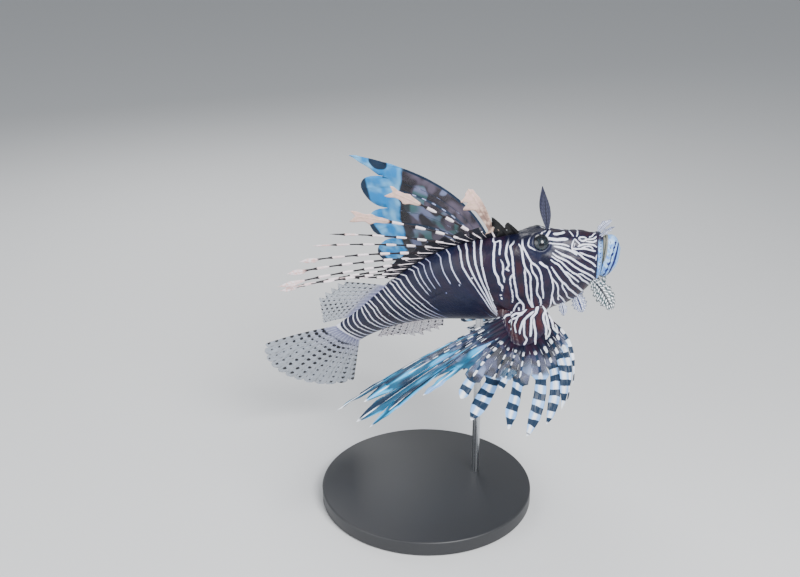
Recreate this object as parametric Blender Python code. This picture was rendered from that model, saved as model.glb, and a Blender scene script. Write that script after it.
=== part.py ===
"""Red lionfish, a life-size still model held by a plain display stand.

Metres, +Z up, head towards +X, origin under the middle of the stand's foot. The fish is
worked out in its own frame, in shares of its standard length: s runs back from the snout
tip, y to its left and z to its back. Pose bends that frame and turns it into the world.
"""

import math

import bmesh
import bpy
import numpy as np
from mathutils import Vector
from mathutils.bvhtree import BVHTree

# Driving dimensions, in metres and degrees
STANDARD_LENGTH = 0.238
GAP = 0.0003
HALF_GAP = GAP / 2
SNOUT_PLACE = (0.128, 0.0, 0.222)
HEAD_PITCH = 23.0
TAIL_SWING = 31.0
TAIL_DROOP = 17.0
TAIL_TWIST = 38.0
# Where along the body each bend starts and ends
SWING_SPAN = (0.19, 0.50)
DROOP_SPAN = (0.42, 1.08)
TWIST_SPAN = (0.05, 0.90)
MEMBRANE = 0.0006
RAY_THICKNESS = 0.0016
EYE_RADIUS = 0.0070
BASE_RADIUS = 0.085
BASE_HEIGHT = 0.012
ROD_RADIUS = 0.003
ROD_DEPTH = 0.010

# Body rings: top s, top z, bottom s, bottom z, half width
RINGS = (
    (-0.012, 0.021, 0.040, -0.100, 0.034),
    (0.022, 0.043, 0.086, -0.124, 0.050),
    (0.060, 0.064, 0.120, -0.140, 0.062),
    (0.110, 0.085, 0.155, -0.148, 0.071),
    (0.165, 0.106, 0.195, -0.150, 0.078),
    (0.230, 0.127, 0.245, -0.147, 0.083),
    (0.300, 0.145, 0.300, -0.140, 0.086),
    (0.370, 0.154, 0.370, -0.130, 0.085),
    (0.460, 0.154, 0.460, -0.116, 0.078),
    (0.560, 0.142, 0.560, -0.102, 0.066),
    (0.660, 0.120, 0.660, -0.087, 0.053),
    (0.760, 0.094, 0.760, -0.074, 0.040),
    (0.860, 0.071, 0.860, -0.062, 0.028),
    (0.940, 0.060, 0.940, -0.055, 0.019),
    (1.000, 0.058, 1.000, -0.054, 0.011),
)
HEAD_END = 7.0
TRUNK_SPLIT = 9.4
PEDUNCLE_START = 12.0
LAST_RING = 14.0
RING_POINTS = 28
SECTION_POWER = 0.86

# Lower jaw rings, from its rim to just short of its point
JAW_RINGS = (
    (-0.0235, 0.010, 0.0385, -0.102, 0.031),
    (-0.034, 0.008, 0.032, -0.115, 0.033),
    (-0.045, 0.002, 0.014, -0.114, 0.031),
    (-0.0515, -0.010, -0.016, -0.098, 0.024),
    (-0.0525, -0.026, -0.034, -0.078, 0.013),
)
JAW_POINT = (-0.0515, 0.0, -0.048)

EYE_PLACE = (0.175, 0.037, 0.085)
GILL_BULGE = 0.030
# Swells on the plain rings: height, then place and spread along and up the flank
LIP_SWELL = (0.006, 0.28, 0.22)
BROW_SWELL = (0.010, 0.165, 0.06, 0.108, 0.022)
BROW_RISE = 0.008
CHEEK_SWELL = (0.006, 0.17, 0.07, -0.03, 0.045)
GILL_SPREAD = 1.3
GILL_HALF_HEIGHT = 0.15

# Dorsal spines: place along the back, sweep back, length, lean to the left
SPINES = (
    (0.232, 18.0, 0.050, 0.0),
    (0.262, 16.0, 0.078, 0.0),
    (0.298, 3.0, 0.192, -6.0),
    (0.335, 34.0, 0.325, -9.0),
    (0.372, 52.0, 0.370, -9.0),
    (0.412, 59.0, 0.410, -14.0),
    (0.452, 65.4, 0.440, -12.0),
    (0.492, 69.0, 0.460, -14.0),
    (0.530, 72.3, 0.485, -12.0),
    (0.566, 73.0, 0.490, -13.5),
    (0.600, 72.6, 0.460, -12.0),
    (0.632, 66.0, 0.380, -13.0),
    (0.662, 56.5, 0.220, -12.0),
)
SPINE_NOTCH = 0.12
SPINE_WIDTH = 0.0026
SPINE_FRONT = 0.35
# Soft fins on the back and the belly: side, first and last place, rays, sweeps, lengths
SOFT_DORSAL = (1, 0.715, 0.93, 11, (56, 68), (0.14, 0.18, 0.10))
ANAL_FIN = (-1, 0.62, 0.88, 10, (40, 66), (0.06, 0.11, 0.06))
SOFT_NOTCH = 0.9
SOFT_WIDTH = 0.0022
SOFT_THICKNESS = 0.0012

CAUDAL_RAYS = 12
CAUDAL_LENGTH = 0.292
CAUDAL_SPREAD = 41.0
# How far the tail fin bends to its left and up from the body's line, and how far it tilts
CAUDAL_BEND = (-0.274, 0.080)
CAUDAL_TILT = -0.303
CAUDAL_NOTCH = 0.92
# How high the tail fin's middle sits on the tail's end, and half the height of its root
CAUDAL_ROOT = (0.003, 0.052)
CAUDAL_ROUNDING = 0.12
CAUDAL_BOW = 0.003

PECTORAL_RAYS = 14
PELVIC_RAYS = 6
BASE_PLACE = (0.320, 0.045, -0.065)
BASE_ROWS = 6
BASE_TIP_HALF = 0.0010
BASE_ROOT_HALF = 0.0060
BASE_SWELL = 0.0020
BASE_GAP = 0.0005

# Ray number, root s y z, bend back out up, tip back out up, notch, half width
RIGHT_FAN = (
    (0, 0.348, 0.110, -0.078, 0.255, 0.170, 0.060, 0.540, 0.255, 0.025, 0.86, 0.008),
    (1, 0.348, 0.113, -0.085, 0.235, 0.170, 0.045, 0.455, 0.260, 0.030, 0.82, 0.012),
    (2, 0.348, 0.117, -0.094, 0.245, 0.170, 0.025, 0.500, 0.265, -0.010, 0.84, 0.014),
    (3, 0.347, 0.121, -0.107, 0.245, 0.170, 0.025, 0.470, 0.270, -0.025, 0.78, 0.013),
    (4, 0.347, 0.125, -0.123, 0.155, 0.175, 0.030, 0.280, 0.270, 0.030, 0.55, 0.020),
    (5, 0.347, 0.129, -0.140, 0.100, 0.175, 0.040, 0.180, 0.270, -0.005, 0.72, 0.018),
    (6, 0.346, 0.132, -0.159, 0.055, 0.175, 0.005, 0.180, 0.270, -0.065, 0.52, 0.026),
    (7, 0.336, 0.133, -0.176, 0.020, 0.175, 0.025, 0.075, 0.260, 0.015, 0.80, 0.012),
    (8, 0.319, 0.133, -0.185, 0.035, 0.175, -0.010, 0.125, 0.250, -0.120, 0.46, 0.025),
    (9, 0.301, 0.132, -0.185, -0.030, 0.175, -0.060, 0.105, 0.238, -0.170, 0.38, 0.021),
    (10, 0.279, 0.127, -0.179, -0.055, 0.165, -0.065, 0.065, 0.215, -0.175, 0.34, 0.018),
    (11, 0.259, 0.122, -0.170, -0.055, 0.152, -0.050, 0.030, 0.190, -0.170, 0.32, 0.015),
    (12, 0.240, 0.116, -0.160, -0.055, 0.130, -0.050, 0.030, 0.160, -0.180, 0.32, 0.011),
    (13, 0.224, 0.110, -0.151, -0.055, 0.110, -0.040, 0.015, 0.127, -0.165, 0.32, 0.010),
)
LEFT_FAN = (
    (0, 0.374, 0.110, -0.020, -0.050, 0.250, 0.225, 0.350, 0.350, 0.455, 0.87, 0.030),
    (1, 0.375, 0.115, -0.036, 0.065, 0.250, 0.265, 0.365, 0.370, 0.340, 0.87, 0.034),
    (2, 0.374, 0.120, -0.056, 0.130, 0.250, 0.225, 0.400, 0.400, 0.180, 0.86, 0.030),
    (3, 0.373, 0.124, -0.079, 0.170, 0.250, 0.175, 0.425, 0.430, 0.090, 0.82, 0.026),
    (6, 0.356, 0.134, -0.160, 0.160, 0.250, -0.020, 0.360, 0.400, -0.060, 0.60, 0.018),
    (9, 0.305, 0.132, -0.180, 0.080, 0.200, -0.080, 0.220, 0.320, -0.170, 0.45, 0.014),
    (13, 0.228, 0.110, -0.150, -0.020, 0.120, -0.080, 0.040, 0.160, -0.160, 0.35, 0.010),
)
PELVIC_FRAME = 0.42
# Ray number, root s y z, bend back out up, tip back out up, notch, half width
PELVIC_FAN = (
    (0, 0.355, 0.030, -0.146, 0.11, 0.045, -0.070, 0.22, 0.060, -0.11, 0.88, 0.008),
    (5, 0.400, 0.018, -0.142, 0.09, 0.018, -0.026, 0.16, 0.025, -0.04, 0.90, 0.008),
)

# Flaps: root s z, bend and tip back out up from the root, half width, lumps of the edge
FLAPS = {
    "brow_tentacle": ((0.133, 0.110), (-0.014, 0.014, 0.068), (-0.034, 0.014, 0.132), 0.015, 0.0),
    "nose_flap": ((-0.004, 0.023), (-0.020, 0.006, 0.018), (-0.052, 0.008, 0.016), 0.010, 0.2),
    "jaw_flap": ((0.066, -0.100), (-0.025, 0.042, -0.040), (-0.022, 0.060, -0.092), 0.028, 0.18),
    "cheek_flap": ((0.130, -0.137), (0.00, 0.01, -0.025), (0.002, 0.012, -0.054), 0.022, 0.2),
    "throat_flap": ((0.182, -0.132), (0.00, 0.01, -0.018), (0.008, 0.010, -0.040), 0.012, 0.2),
}
NOSTRIL = (0.062, 0.046)
NOSTRIL_RADIUS = 0.0009
FLAP_THICKNESS = 0.0012
ROD_PLACE = 0.47

# Plain colours, as linear red, green and blue
FLESH = (0.30, 0.22, 0.28)
DARK_FLESH = (0.16, 0.14, 0.22)
BASE_FLESH = (0.35, 0.16, 0.20)
JAW_BLUE = (0.62, 0.70, 0.88)
EYE_SLATE = (0.10, 0.13, 0.18)
SPINE_PINK = (0.75, 0.62, 0.58)
SOFT_GREY = (0.55, 0.55, 0.60)
ANAL_PINK = (0.55, 0.45, 0.52)
CAUDAL_GREY = (0.50, 0.50, 0.58)
PECTORAL_BLUE = (0.45, 0.52, 0.60)
PELVIC_GREY = (0.45, 0.45, 0.52)
FLAP_GREY = (0.60, 0.60, 0.66)
FOOT_CHARCOAL = (0.06, 0.06, 0.07)
ROD_STEEL = (0.5, 0.5, 0.52)


def ease(value, start, end):
    """Zero before start, one after end, with a smooth rise between."""
    share = np.clip((np.asarray(value, float) - start) / (end - start), 0, 1)
    return share * share * (3 - 2 * share)


def unit(vectors):
    """Vectors brought to length one."""
    vectors = np.asarray(vectors, float)
    return vectors / np.linalg.norm(vectors, axis=-1, keepdims=True)


class Pose:
    """The bent and tilted frame of the fish: a centre line with three axes along it."""

    SAMPLES = 600
    FIRST, LAST = -0.3, 1.6

    def __init__(self):
        self.s = np.linspace(self.FIRST, self.LAST, self.SAMPLES)
        swing = np.radians(TAIL_SWING) * ease(self.s, *SWING_SPAN)
        droop = np.radians(HEAD_PITCH + TAIL_DROOP * ease(self.s, *DROOP_SPAN))
        twist = np.radians(TAIL_TWIST) * ease(self.s, *TWIST_SPAN)
        ahead = np.stack(
            [np.cos(swing) * np.cos(droop), -np.sin(swing) * np.cos(droop), np.sin(droop)], 1
        )
        level = np.stack([np.sin(swing), np.cos(swing), np.zeros_like(swing)], 1)
        upright = np.cross(ahead, level)
        self.back = -ahead
        self.left = np.cos(twist)[:, None] * level + np.sin(twist)[:, None] * upright
        self.up = np.cos(twist)[:, None] * upright - np.sin(twist)[:, None] * level
        step = (self.s[1] - self.s[0]) * STANDARD_LENGTH
        line = np.cumsum(self.back * step, axis=0)
        self.line = line - self._at(line, 0.0) + np.array(SNOUT_PLACE)

    def _at(self, values, s):
        return np.stack([np.interp(s, self.s, values[:, k]) for k in range(3)], -1)

    def axes(self, s):
        """Unit vectors that point back, left and up at s."""
        return tuple(unit(self._at(v, s)) for v in (self.back, self.left, self.up))

    def place(self, s, y, z):
        """World points of the shares s, y and z."""
        s, y, z = np.broadcast_arrays(*(np.asarray(v, float) for v in (s, y, z)))
        _, left, up = self.axes(s)
        offset = left * y[..., None] + up * z[..., None]
        return self._at(self.line, s) + offset * STANDARD_LENGTH


POSE = Pose()


def spline(rows, at):
    """Rows of numbers read at a fractional row number, on a smooth curve through them."""
    rows = np.asarray(rows, float)
    low = np.clip(np.floor(at).astype(int), 0, len(rows) - 2)
    share = (at - low)[..., None]
    before = rows[np.clip(low - 1, 0, None)]
    here, after = rows[low], rows[low + 1]
    beyond = rows[np.clip(low + 2, None, len(rows) - 1)]
    slope_here, slope_after = (after - before) / 2, (beyond - here) / 2
    square, cube = share**2, share**3
    return (
        (2 * cube - 3 * square + 1) * here
        + (cube - 2 * square + share) * slope_here
        + (3 * square - 2 * cube) * after
        + (cube - square) * slope_after
    )


def section(rows, at, turn):
    """Shares s, y, z on the ring at a row number, at an angle from the back to the left."""
    at, turn = np.broadcast_arrays(np.asarray(at, float), np.asarray(turn, float))
    top_s, top_z, low_s, low_z, half = np.moveaxis(spline(rows, at), -1, 0)
    cos, sin = np.cos(turn), np.sin(turn)
    tall = np.sign(cos) * np.abs(cos) ** SECTION_POWER
    wide = np.sign(sin) * np.abs(sin) ** SECTION_POWER
    s = (top_s + low_s) / 2 + (top_s - low_s) / 2 * tall
    z = (top_z + low_z) / 2 + (top_z - low_z) / 2 * tall
    return s, half * wide, z


def ridge(s, side):
    """Height z of the back (side 1) or the belly (side -1) at s."""
    at = np.linspace(0, LAST_RING, 400)
    top_s, top_z, low_s, low_z, _ = np.moveaxis(spline(RINGS, at), -1, 0)
    return np.interp(s, top_s, top_z) if side > 0 else np.interp(s, low_s, low_z)


def on_flank(s, z, side):
    """World point on the left (side 1) or right flank at s and z, and its outward normal."""
    at, turn = np.meshgrid(np.linspace(0, LAST_RING, 421), np.linspace(0.02, math.pi - 0.02, 160))
    shares = shaped(*section(RINGS, at, turn), at)
    near = np.argmin((shares[0] - s) ** 2 + (shares[2] - z) ** 2)
    row, column = np.unravel_index(near, at.shape)
    patch = [v[max(row - 1, 0) : row + 2, max(column - 1, 0) : column + 2] for v in shares]
    points = POSE.place(patch[0], patch[1] * side, patch[2])
    down, along = points[-1, 0] - points[0, 0], points[0, -1] - points[0, 0]
    normal = unit(np.cross(along, down)) * side
    _, left, _ = POSE.axes(s)
    return points.mean(axis=(0, 1)), normal * np.sign(normal @ left * side)


def outward(points, faces):
    """Triangles of a closed shell, turned round where they face inwards."""
    corner = np.asarray(points)[np.asarray(faces)]
    volume = np.einsum("ij,ij->", corner[:, 0], np.cross(corner[:, 1], corner[:, 2]))
    return [tuple(f) if volume > 0 else tuple(f[::-1]) for f in faces]


def add_object(name, points, faces, colour, roughness=0.5):
    """A smooth mesh object with its own material."""
    mesh = bpy.data.meshes.new(name)
    mesh.from_pydata([tuple(p) for p in points], [], outward(points, faces))
    mesh.update()
    mesh.shade_smooth()
    material = bpy.data.materials.new(name)
    material.use_nodes = True
    shader = material.node_tree.nodes["Principled BSDF"]
    shader.inputs["Base Color"].default_value = (*colour, 1)
    shader.inputs["Roughness"].default_value = roughness
    mesh.materials.append(material)
    obj = bpy.data.objects.new(name, mesh)
    bpy.context.scene.collection.objects.link(obj)
    return obj


def loft(rings, front=None, back=None):
    """Points and triangles of a closed tube of rings, ended in points or in flat fans."""
    rings = [np.asarray(r) for r in rings]
    count = len(rings[0])
    front = rings[0].mean(axis=0) if front is None else front
    back = rings[-1].mean(axis=0) if back is None else back
    points = np.concatenate([*rings, [front, back]])
    first, last = len(points) - 2, len(points) - 1
    faces = []
    for row in range(len(rings) - 1):
        for k in range(count):
            a = row * count + k
            b = row * count + (k + 1) % count
            faces += [(a, a + count, b + count), (a, b + count, b)]
    end = (len(rings) - 1) * count
    for k in range(count):
        after = (k + 1) % count
        faces += [(first, k, after), (last, end + after, end + k)]
    return points, faces


def body_length(name, start, end, rows, colour):
    """One length of the body between two ring numbers, half a gap short at each cut."""
    turn = np.linspace(0, 2 * math.pi, RING_POINTS, endpoint=False)
    rings = []
    for at in np.linspace(start, end, rows):
        s, y, z = section(RINGS, at, turn)
        s, y, z = shaped(s, y, z, at)
        ring = POSE.place(s, y, z)
        if at == start and start > 0:
            ring = ring + POSE.axes(s)[0] * HALF_GAP
        if at == end:
            ring = ring - POSE.axes(s)[0] * HALF_GAP
        rings.append(ring)
    points, faces = loft(rings)
    return add_object(name, points, faces, colour)


def hump(value, centre, spread):
    """A smooth hump of height one at centre."""
    return np.exp(-(((value - centre) / spread) ** 2))


def shaped(s, y, z, at):
    """Head forms on the plain rings: lip, brow, cheek and the swell of the gill cover."""
    side = np.sign(y)
    y = y + side * LIP_SWELL[0] * hump(at, *LIP_SWELL[1:])
    brow = hump(s, *BROW_SWELL[1:3]) * hump(z, *BROW_SWELL[3:])
    y = y + side * BROW_SWELL[0] * brow
    z = z + BROW_RISE * brow
    cheek = hump(s, *CHEEK_SWELL[1:3]) * hump(z, *CHEEK_SWELL[3:])
    y = y + side * CHEEK_SWELL[0] * cheek
    gill = GILL_BULGE * hump(at, HEAD_END, GILL_SPREAD)
    s = s + gill * (1 - np.clip(z / GILL_HALF_HEIGHT, -1, 1) ** 2)
    return s, y, z


def ball(centre, radius, name, colour, roughness, fineness=3):
    """A round eye, or a ball to cut a hollow with."""
    mesh = bmesh.new()
    bmesh.ops.create_icosphere(mesh, subdivisions=fineness, radius=radius)
    points = [np.array(v.co) + centre for v in mesh.verts]
    faces = [[v.index for v in f.verts] for f in mesh.faces]
    mesh.free()
    return add_object(name, points, faces, colour, roughness)


def cut(target, cutters):
    """Takes the cutters out of the target for good and removes them."""
    for cutter in cutters:
        modifier = target.modifiers.new("cut", "BOOLEAN")
        modifier.operation = "DIFFERENCE"
        modifier.object = cutter
    settle(target)
    for cutter in cutters:
        bpy.data.objects.remove(cutter)


def settle(obj):
    """Applies the modifiers of an object and keeps its largest closed surface."""
    graph = bpy.context.evaluated_depsgraph_get()
    mesh = bpy.data.meshes.new_from_object(obj.evaluated_get(graph))
    obj.modifiers.clear()
    obj.data = mesh
    keep_largest(mesh)


def keep_largest(mesh):
    """Drops every closed surface of a mesh but its largest."""
    work = bmesh.new()
    work.from_mesh(mesh)
    bmesh.ops.triangulate(work, faces=work.faces[:])
    left = set(work.faces)
    groups = []
    while left:
        group, edge = set(), {left.pop()}
        while edge:
            group |= edge
            edge = {n for f in edge for e in f.edges for n in e.link_faces} - group
        left -= group
        groups.append(group)
    groups.sort(key=lambda g: sum(f.calc_area() for f in g))
    loose = [f for g in groups[:-1] for f in g]
    bmesh.ops.delete(work, geom=loose, context="FACES")
    work.to_mesh(mesh)
    work.free()


def cylinder(name, radius, low, high, x, y, sides, colour):
    """An upright turned piece with a softened rim."""
    soft = min(0.0012, radius * 0.3)
    turn = np.linspace(0, 2 * math.pi, sides, endpoint=False)
    outline = (
        (radius - soft, high),
        (radius, high - soft),
        (radius, low + soft),
        (radius - soft, low),
    )
    rings = [
        np.stack([x + r * np.cos(turn), y + r * np.sin(turn), np.full(sides, z)], 1)
        for r, z in outline
    ]
    points, faces = loft(rings)
    return add_object(name, points, faces, colour)


def bezier(root, bend, tip, u):
    """Points of a quadratic curve."""
    u = np.asarray(u)[:, None]
    return (1 - u) ** 2 * root + 2 * u * (1 - u) * bend + u**2 * tip


class Ray:
    """One fin ray or spine: its curve, where the membrane leaves it, and its free width."""

    def __init__(self, root, bend, tip, notch, width, front=1.0, blade=0.75):
        self.root, self.bend, self.tip = (np.asarray(v, float) for v in (root, bend, tip))
        self.notch, self.width, self.front, self.blade = notch, width, front, blade


def comb_fin(name, rays, colour, held_rows=4, free_rows=4, thick=RAY_THICKNESS, sheet=MEMBRANE):
    """A fin of rays: one thin sheet up to the notches and free blades beyond them.

    Each ray is a strip of three columns. Neighbours share their edge column up to the
    notch row. Both faces get the same triangles, and a ridge of thickness follows each ray.
    """
    rows = held_rows + free_rows
    mid, girth, index = [], [], {}
    paths = []
    for ray in rays:
        held = np.linspace(0, ray.notch, held_rows + 1)
        free = ray.notch + (1 - ray.notch) * np.linspace(0, 1, free_rows + 1)[1:]
        steps = np.concatenate([held, free])
        paths.append((steps, bezier(ray.root, ray.bend, ray.tip, steps)))

    def add(key, point, thickness):
        index[key] = len(mid)
        mid.append(point)
        girth.append(thickness)

    last = len(rays) - 1
    for k, ray in enumerate(rays):
        steps, path = paths[k]
        taper = 1 - 0.6 * steps
        for row in range(rows + 1):
            add((k, 1, row), path[row], max(thick * taper[row], sheet))
    for k in range(len(rays) + 1):
        for row in range(rows + 1):
            shared = row <= held_rows and 0 < k <= last
            if shared:
                a, b = paths[k - 1][1][row], paths[k][1][row]
                add((k, 0, row), (a + b) / 2, sheet)
                index[(k - 1, 2, row)] = index[(k, 0, row)]
                continue
            for ray_number, column in ((k - 1, 2), (k, 0)):
                if not 0 <= ray_number <= last:
                    continue
                ray = rays[ray_number]
                steps, path = paths[ray_number]
                away = side_of(paths, ray_number, column, row)
                share = blade_share(steps[row], ray.notch, ray.blade)
                reach = ray.width * (ray.front if column == 0 else 1.0) * share
                if row <= held_rows:
                    reach = ray.width * (0.06 + 0.5 * row / held_rows)
                add((ray_number, column, row), path[row] + away * reach, sheet * 0.8)
    faces = []
    for k in range(len(rays)):
        for row in range(rows):
            for column in (0, 1):
                a, b = index[(k, column, row)], index[(k, column + 1, row)]
                c, d = index[(k, column + 1, row + 1)], index[(k, column, row + 1)]
                if column == 0:
                    faces += [(a, b, c), (a, c, d)]
                else:
                    faces += [(a, b, d), (b, c, d)]
    points, faces = thicken(np.array(mid), np.array(girth), faces)
    return add_object(name, points, faces, colour, 0.45)


def blade_share(step, notch, widest):
    """Width of a free blade along it, as a share of its widest."""
    along = (step - notch) / max(1 - notch, 1e-6)
    if along <= widest:
        return 0.75 + 0.25 * along / widest
    return max(0.10, math.sqrt(max(0.0, 1 - ((along - widest) / (1 - widest)) ** 2)))


def side_of(paths, k, column, row):
    """Unit vector from a ray towards its neighbour on one side, square to the ray."""
    steps, path = paths[k]
    other = k - 1 if column == 0 else k + 1
    sign = 1.0
    if not 0 <= other < len(paths):
        other, sign = 2 * k - other, -1.0
    level = min(row, len(path) - 2)
    towards = sign * (paths[other][1][level] - path[level])
    along = unit(path[level + 1] - path[level])
    return unit(towards - along * (towards @ along))


def thicken(mid, girth, faces):
    """A closed shell of a thin sheet, half its thickness to each side of every point."""
    faces = np.asarray(faces)
    corner = mid[faces]
    flat = np.cross(corner[:, 1] - corner[:, 0], corner[:, 2] - corner[:, 0])
    normal = np.zeros_like(mid)
    for column in range(3):
        np.add.at(normal, faces[:, column], flat)
    normal = unit(normal + 1e-15)
    half = normal * girth[:, None] / 2
    points = np.concatenate([mid + half, mid - half])
    count = len(mid)
    edges = {}
    for a, b, c in faces.tolist():
        for pair in ((a, b), (b, c), (c, a)):
            edges[pair] = edges.get(pair, 0) + 1
    rims = [pair for pair in edges if (pair[1], pair[0]) not in edges]
    shell = [tuple(f) for f in faces.tolist()]
    shell += [(c + count, b + count, a + count) for a, b, c in faces.tolist()]
    for a, b in rims:
        shell += [(b, a, a + count), (b, a + count, b + count)]
    return points, shell


def median_ray(s, side, sweep, length, lean, curl, notch, width):
    """A ray of a fin on the back or belly: sweep is its angle back from square."""
    back, left, up = POSE.axes(s)
    up = up * side
    base = POSE.place(s, 0.0, ridge(s, side)) + up * GAP
    angle, tilt = math.radians(sweep), math.radians(lean)
    way = math.cos(angle) * up + math.sin(angle) * back
    way = math.cos(tilt) * way + math.sin(tilt) * left
    length = length * STANDARD_LENGTH
    crook = math.cos(angle) * back - math.sin(angle) * up
    bend = base + way * length * 0.5 - crook * curl * length
    return Ray(base, bend, base + way * length, notch, width)


def spiny_dorsal():
    """Thirteen spines with banners behind them and a low web between them."""
    rays = []
    for s, sweep, length, lean in SPINES:
        ray = median_ray(s, 1, sweep, length, lean, 0.05, SPINE_NOTCH, SPINE_WIDTH)
        ray.front = SPINE_FRONT
        rays.append(ray)
    return comb_fin("dorsal_fin_spiny", rays, SPINE_PINK, held_rows=2, free_rows=6)


def soft_fin(name, side, first, last, count, sweeps, lengths, colour):
    """A soft fin on the back or the belly with a rounded margin."""
    rays = []
    for k in range(count):
        share = k / (count - 1)
        s = first + (last - first) * share
        sweep = sweeps[0] + (sweeps[1] - sweeps[0]) * share
        length = np.interp(share, (0, 0.4, 1), lengths)
        rays.append(median_ray(s, side, sweep, length, 0.0, 0.04, SOFT_NOTCH, SOFT_WIDTH))
    return comb_fin(name, rays, colour, held_rows=5, free_rows=1, thick=SOFT_THICKNESS)


def caudal_axes():
    """Unit vectors back and up in the plane of the tail fin."""
    back, left, up = POSE.axes(1.0)
    ahead = unit(back + CAUDAL_BEND[0] * left + CAUDAL_BEND[1] * up)
    rise = up + CAUDAL_TILT * left
    return ahead, unit(rise - ahead * (rise @ ahead))


def caudal_fin():
    """The rounded tail fin, a fan from the end of the tail."""
    rays = []
    away, rise = caudal_axes()
    back, left, _ = POSE.axes(1.0)
    for k in range(CAUDAL_RAYS):
        share = 1 - 2 * k / (CAUDAL_RAYS - 1)
        base = POSE.place(1.0, 0.0, CAUDAL_ROOT[0] + CAUDAL_ROOT[1] * share) + back * BASE_GAP
        angle = math.radians(CAUDAL_SPREAD) * share
        length = CAUDAL_LENGTH * (1 - CAUDAL_ROUNDING * abs(share) ** 3) * STANDARD_LENGTH
        way = math.cos(angle) * away + math.sin(angle) * rise
        bend = base + way * length * 0.5 + left * CAUDAL_BOW
        rays.append(Ray(base, bend, base + way * length, CAUDAL_NOTCH, SOFT_WIDTH))
    return comb_fin("caudal_fin", rays, CAUDAL_GREY, 5, 1, SOFT_THICKNESS)


def fan_rays(side, keys, first, last, frame):
    """Rays first to last of a paired fin, side 1 for the left, in the axes at s = frame.

    Each key row gives a ray number, the root, how far the bend and the tip lie back, out
    and up from the root, where the membrane leaves it and the blade's half width.
    """
    keys = np.asarray(keys, float)
    rays = []
    for number in range(first, last + 1):
        values = spline(keys[:, 1:], np.interp(number, keys[:, 0], np.arange(len(keys))))
        root = POSE.place(values[0], values[1] * side, values[2])
        back, left, up = POSE.axes(frame)
        axes = np.stack([back, left * side, up])
        bend = root + values[3:6] @ axes * STANDARD_LENGTH
        tip = root + values[6:9] @ axes * STANDARD_LENGTH
        rays.append(Ray(root, bend, tip, values[9], values[10] * STANDARD_LENGTH))
    return rays


def fleshy_base(name, side, rays, flesh):
    """The fleshy lobe that carries a pectoral fin.

    It runs from just off the flank, found by casting lines inwards onto the flesh, to the
    roots of the rays, and is a flat arm thickest in its middle.
    """
    points, faces, count = [], [], 0
    for obj in flesh:
        points += [v.co for v in obj.data.vertices]
        faces += [[count + v for v in p.vertices] for p in obj.data.polygons]
        count = len(points)
    tree = BVHTree.FromPolygons(points, faces)
    roots = np.array([ray.root for ray in rays])
    ahead = unit(np.array([ray.bend for ray in rays]) - roots)
    normal = unit(np.cross(unit(np.gradient(roots, axis=0)), ahead))
    lens = np.sqrt(1 - 0.9 * np.linspace(-1, 1, len(rays)) ** 2)
    middle = roots.mean(axis=0)
    s, y, z = BASE_PLACE
    inner = POSE.place(s, y * side, z) + (roots - middle) * 0.75
    depths = np.linspace(0, 1, BASE_ROWS)
    sections = []
    for k in range(len(rays)):
        lines = []
        for offset in (1.0, 0.0, -1.0):
            outer_end = roots[k] - ahead[k] * GAP + normal[k] * offset * BASE_TIP_HALF * lens[k]
            inner_end = inner[k] + normal[k] * offset * BASE_ROOT_HALF * lens[k]
            hit = tree.ray_cast(Vector(outer_end), Vector(inner_end - outer_end))[0]
            start = np.array(hit) + unit(outer_end - inner_end) * BASE_GAP
            swell = np.sin(np.pi * depths)[:, None] * normal[k] * offset * BASE_SWELL * lens[k]
            lines.append(start + (outer_end - start) * depths[:, None] + swell)
        sections.append(np.concatenate([lines[0], lines[2][::-1], lines[1][:1]]))
    points, faces = loft(sections)
    return add_object(name, points, faces, BASE_FLESH)


def leaf(name, root, bend, tip, side, width, lumps):
    """A flap or tentacle: one blade with a ridge down its middle and a lumpy edge."""
    rows = 7
    steps = np.linspace(0, 1, rows + 1)
    path = bezier(np.asarray(root), np.asarray(bend), np.asarray(tip), steps)
    along = unit(np.gradient(path, axis=0))
    side = unit(side - along * (along @ side)[:, None])
    swell = np.sin(math.pi * np.clip(steps * 0.86 + 0.07, 0, 1)) ** 0.8
    swell *= 1 + lumps * np.cos(steps * 7 * math.pi)
    mid = np.concatenate([path - side * (width * swell)[:, None], path])
    mid = np.concatenate([mid, path + side * (width * swell)[:, None]])
    stem = FLAP_THICKNESS * (1 - 0.5 * steps)
    girth = np.concatenate([np.full(rows + 1, MEMBRANE), stem])
    girth = np.concatenate([girth, np.full(rows + 1, MEMBRANE)])
    faces = []
    for column in (0, 1):
        for row in range(rows):
            a = column * (rows + 1) + row
            b = a + rows + 1
            faces += [(a, b, b + 1), (a, b + 1, a + 1)]
    points, faces = thicken(mid, girth, faces)
    return add_object(name, points, faces, FLAP_GREY)


def build_flaps():
    """Brow tentacles and the frilled flaps of nose, jaw and cheek, a pair of each."""
    for word, (root, bend, tip, width, lumps) in FLAPS.items():
        for side, hand in ((1, "left"), (-1, "right")):
            place, normal = on_flank(*root, side)
            start = place + normal * 2 * GAP
            back, left, up = POSE.axes(root[0])
            axes = np.stack([back, left * side, up]) * STANDARD_LENGTH
            middle, end = start + np.array(bend) @ axes, start + np.array(tip) @ axes
            level = back - normal * (back @ normal)
            name, half = f"{word}_{hand}", width * STANDARD_LENGTH
            leaf(name, start, middle, end, level, half, lumps)


def build_jaw():
    """The lower jaw, a scoop set ahead of the mouth plane."""
    turn = np.linspace(0, 2 * math.pi, 20, endpoint=False)
    rings = []
    for at in np.linspace(len(JAW_RINGS) - 1, 0, 6):
        rings.append(POSE.place(*section(JAW_RINGS, at, turn)))
    points, faces = loft(rings, front=POSE.place(*JAW_POINT))
    return add_object("lower_jaw", points, faces, JAW_BLUE)


def rod_end():
    """Where the rod's axis meets the belly."""
    return POSE.place(ROD_PLACE, 0.0, ridge(ROD_PLACE, -1))


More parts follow.
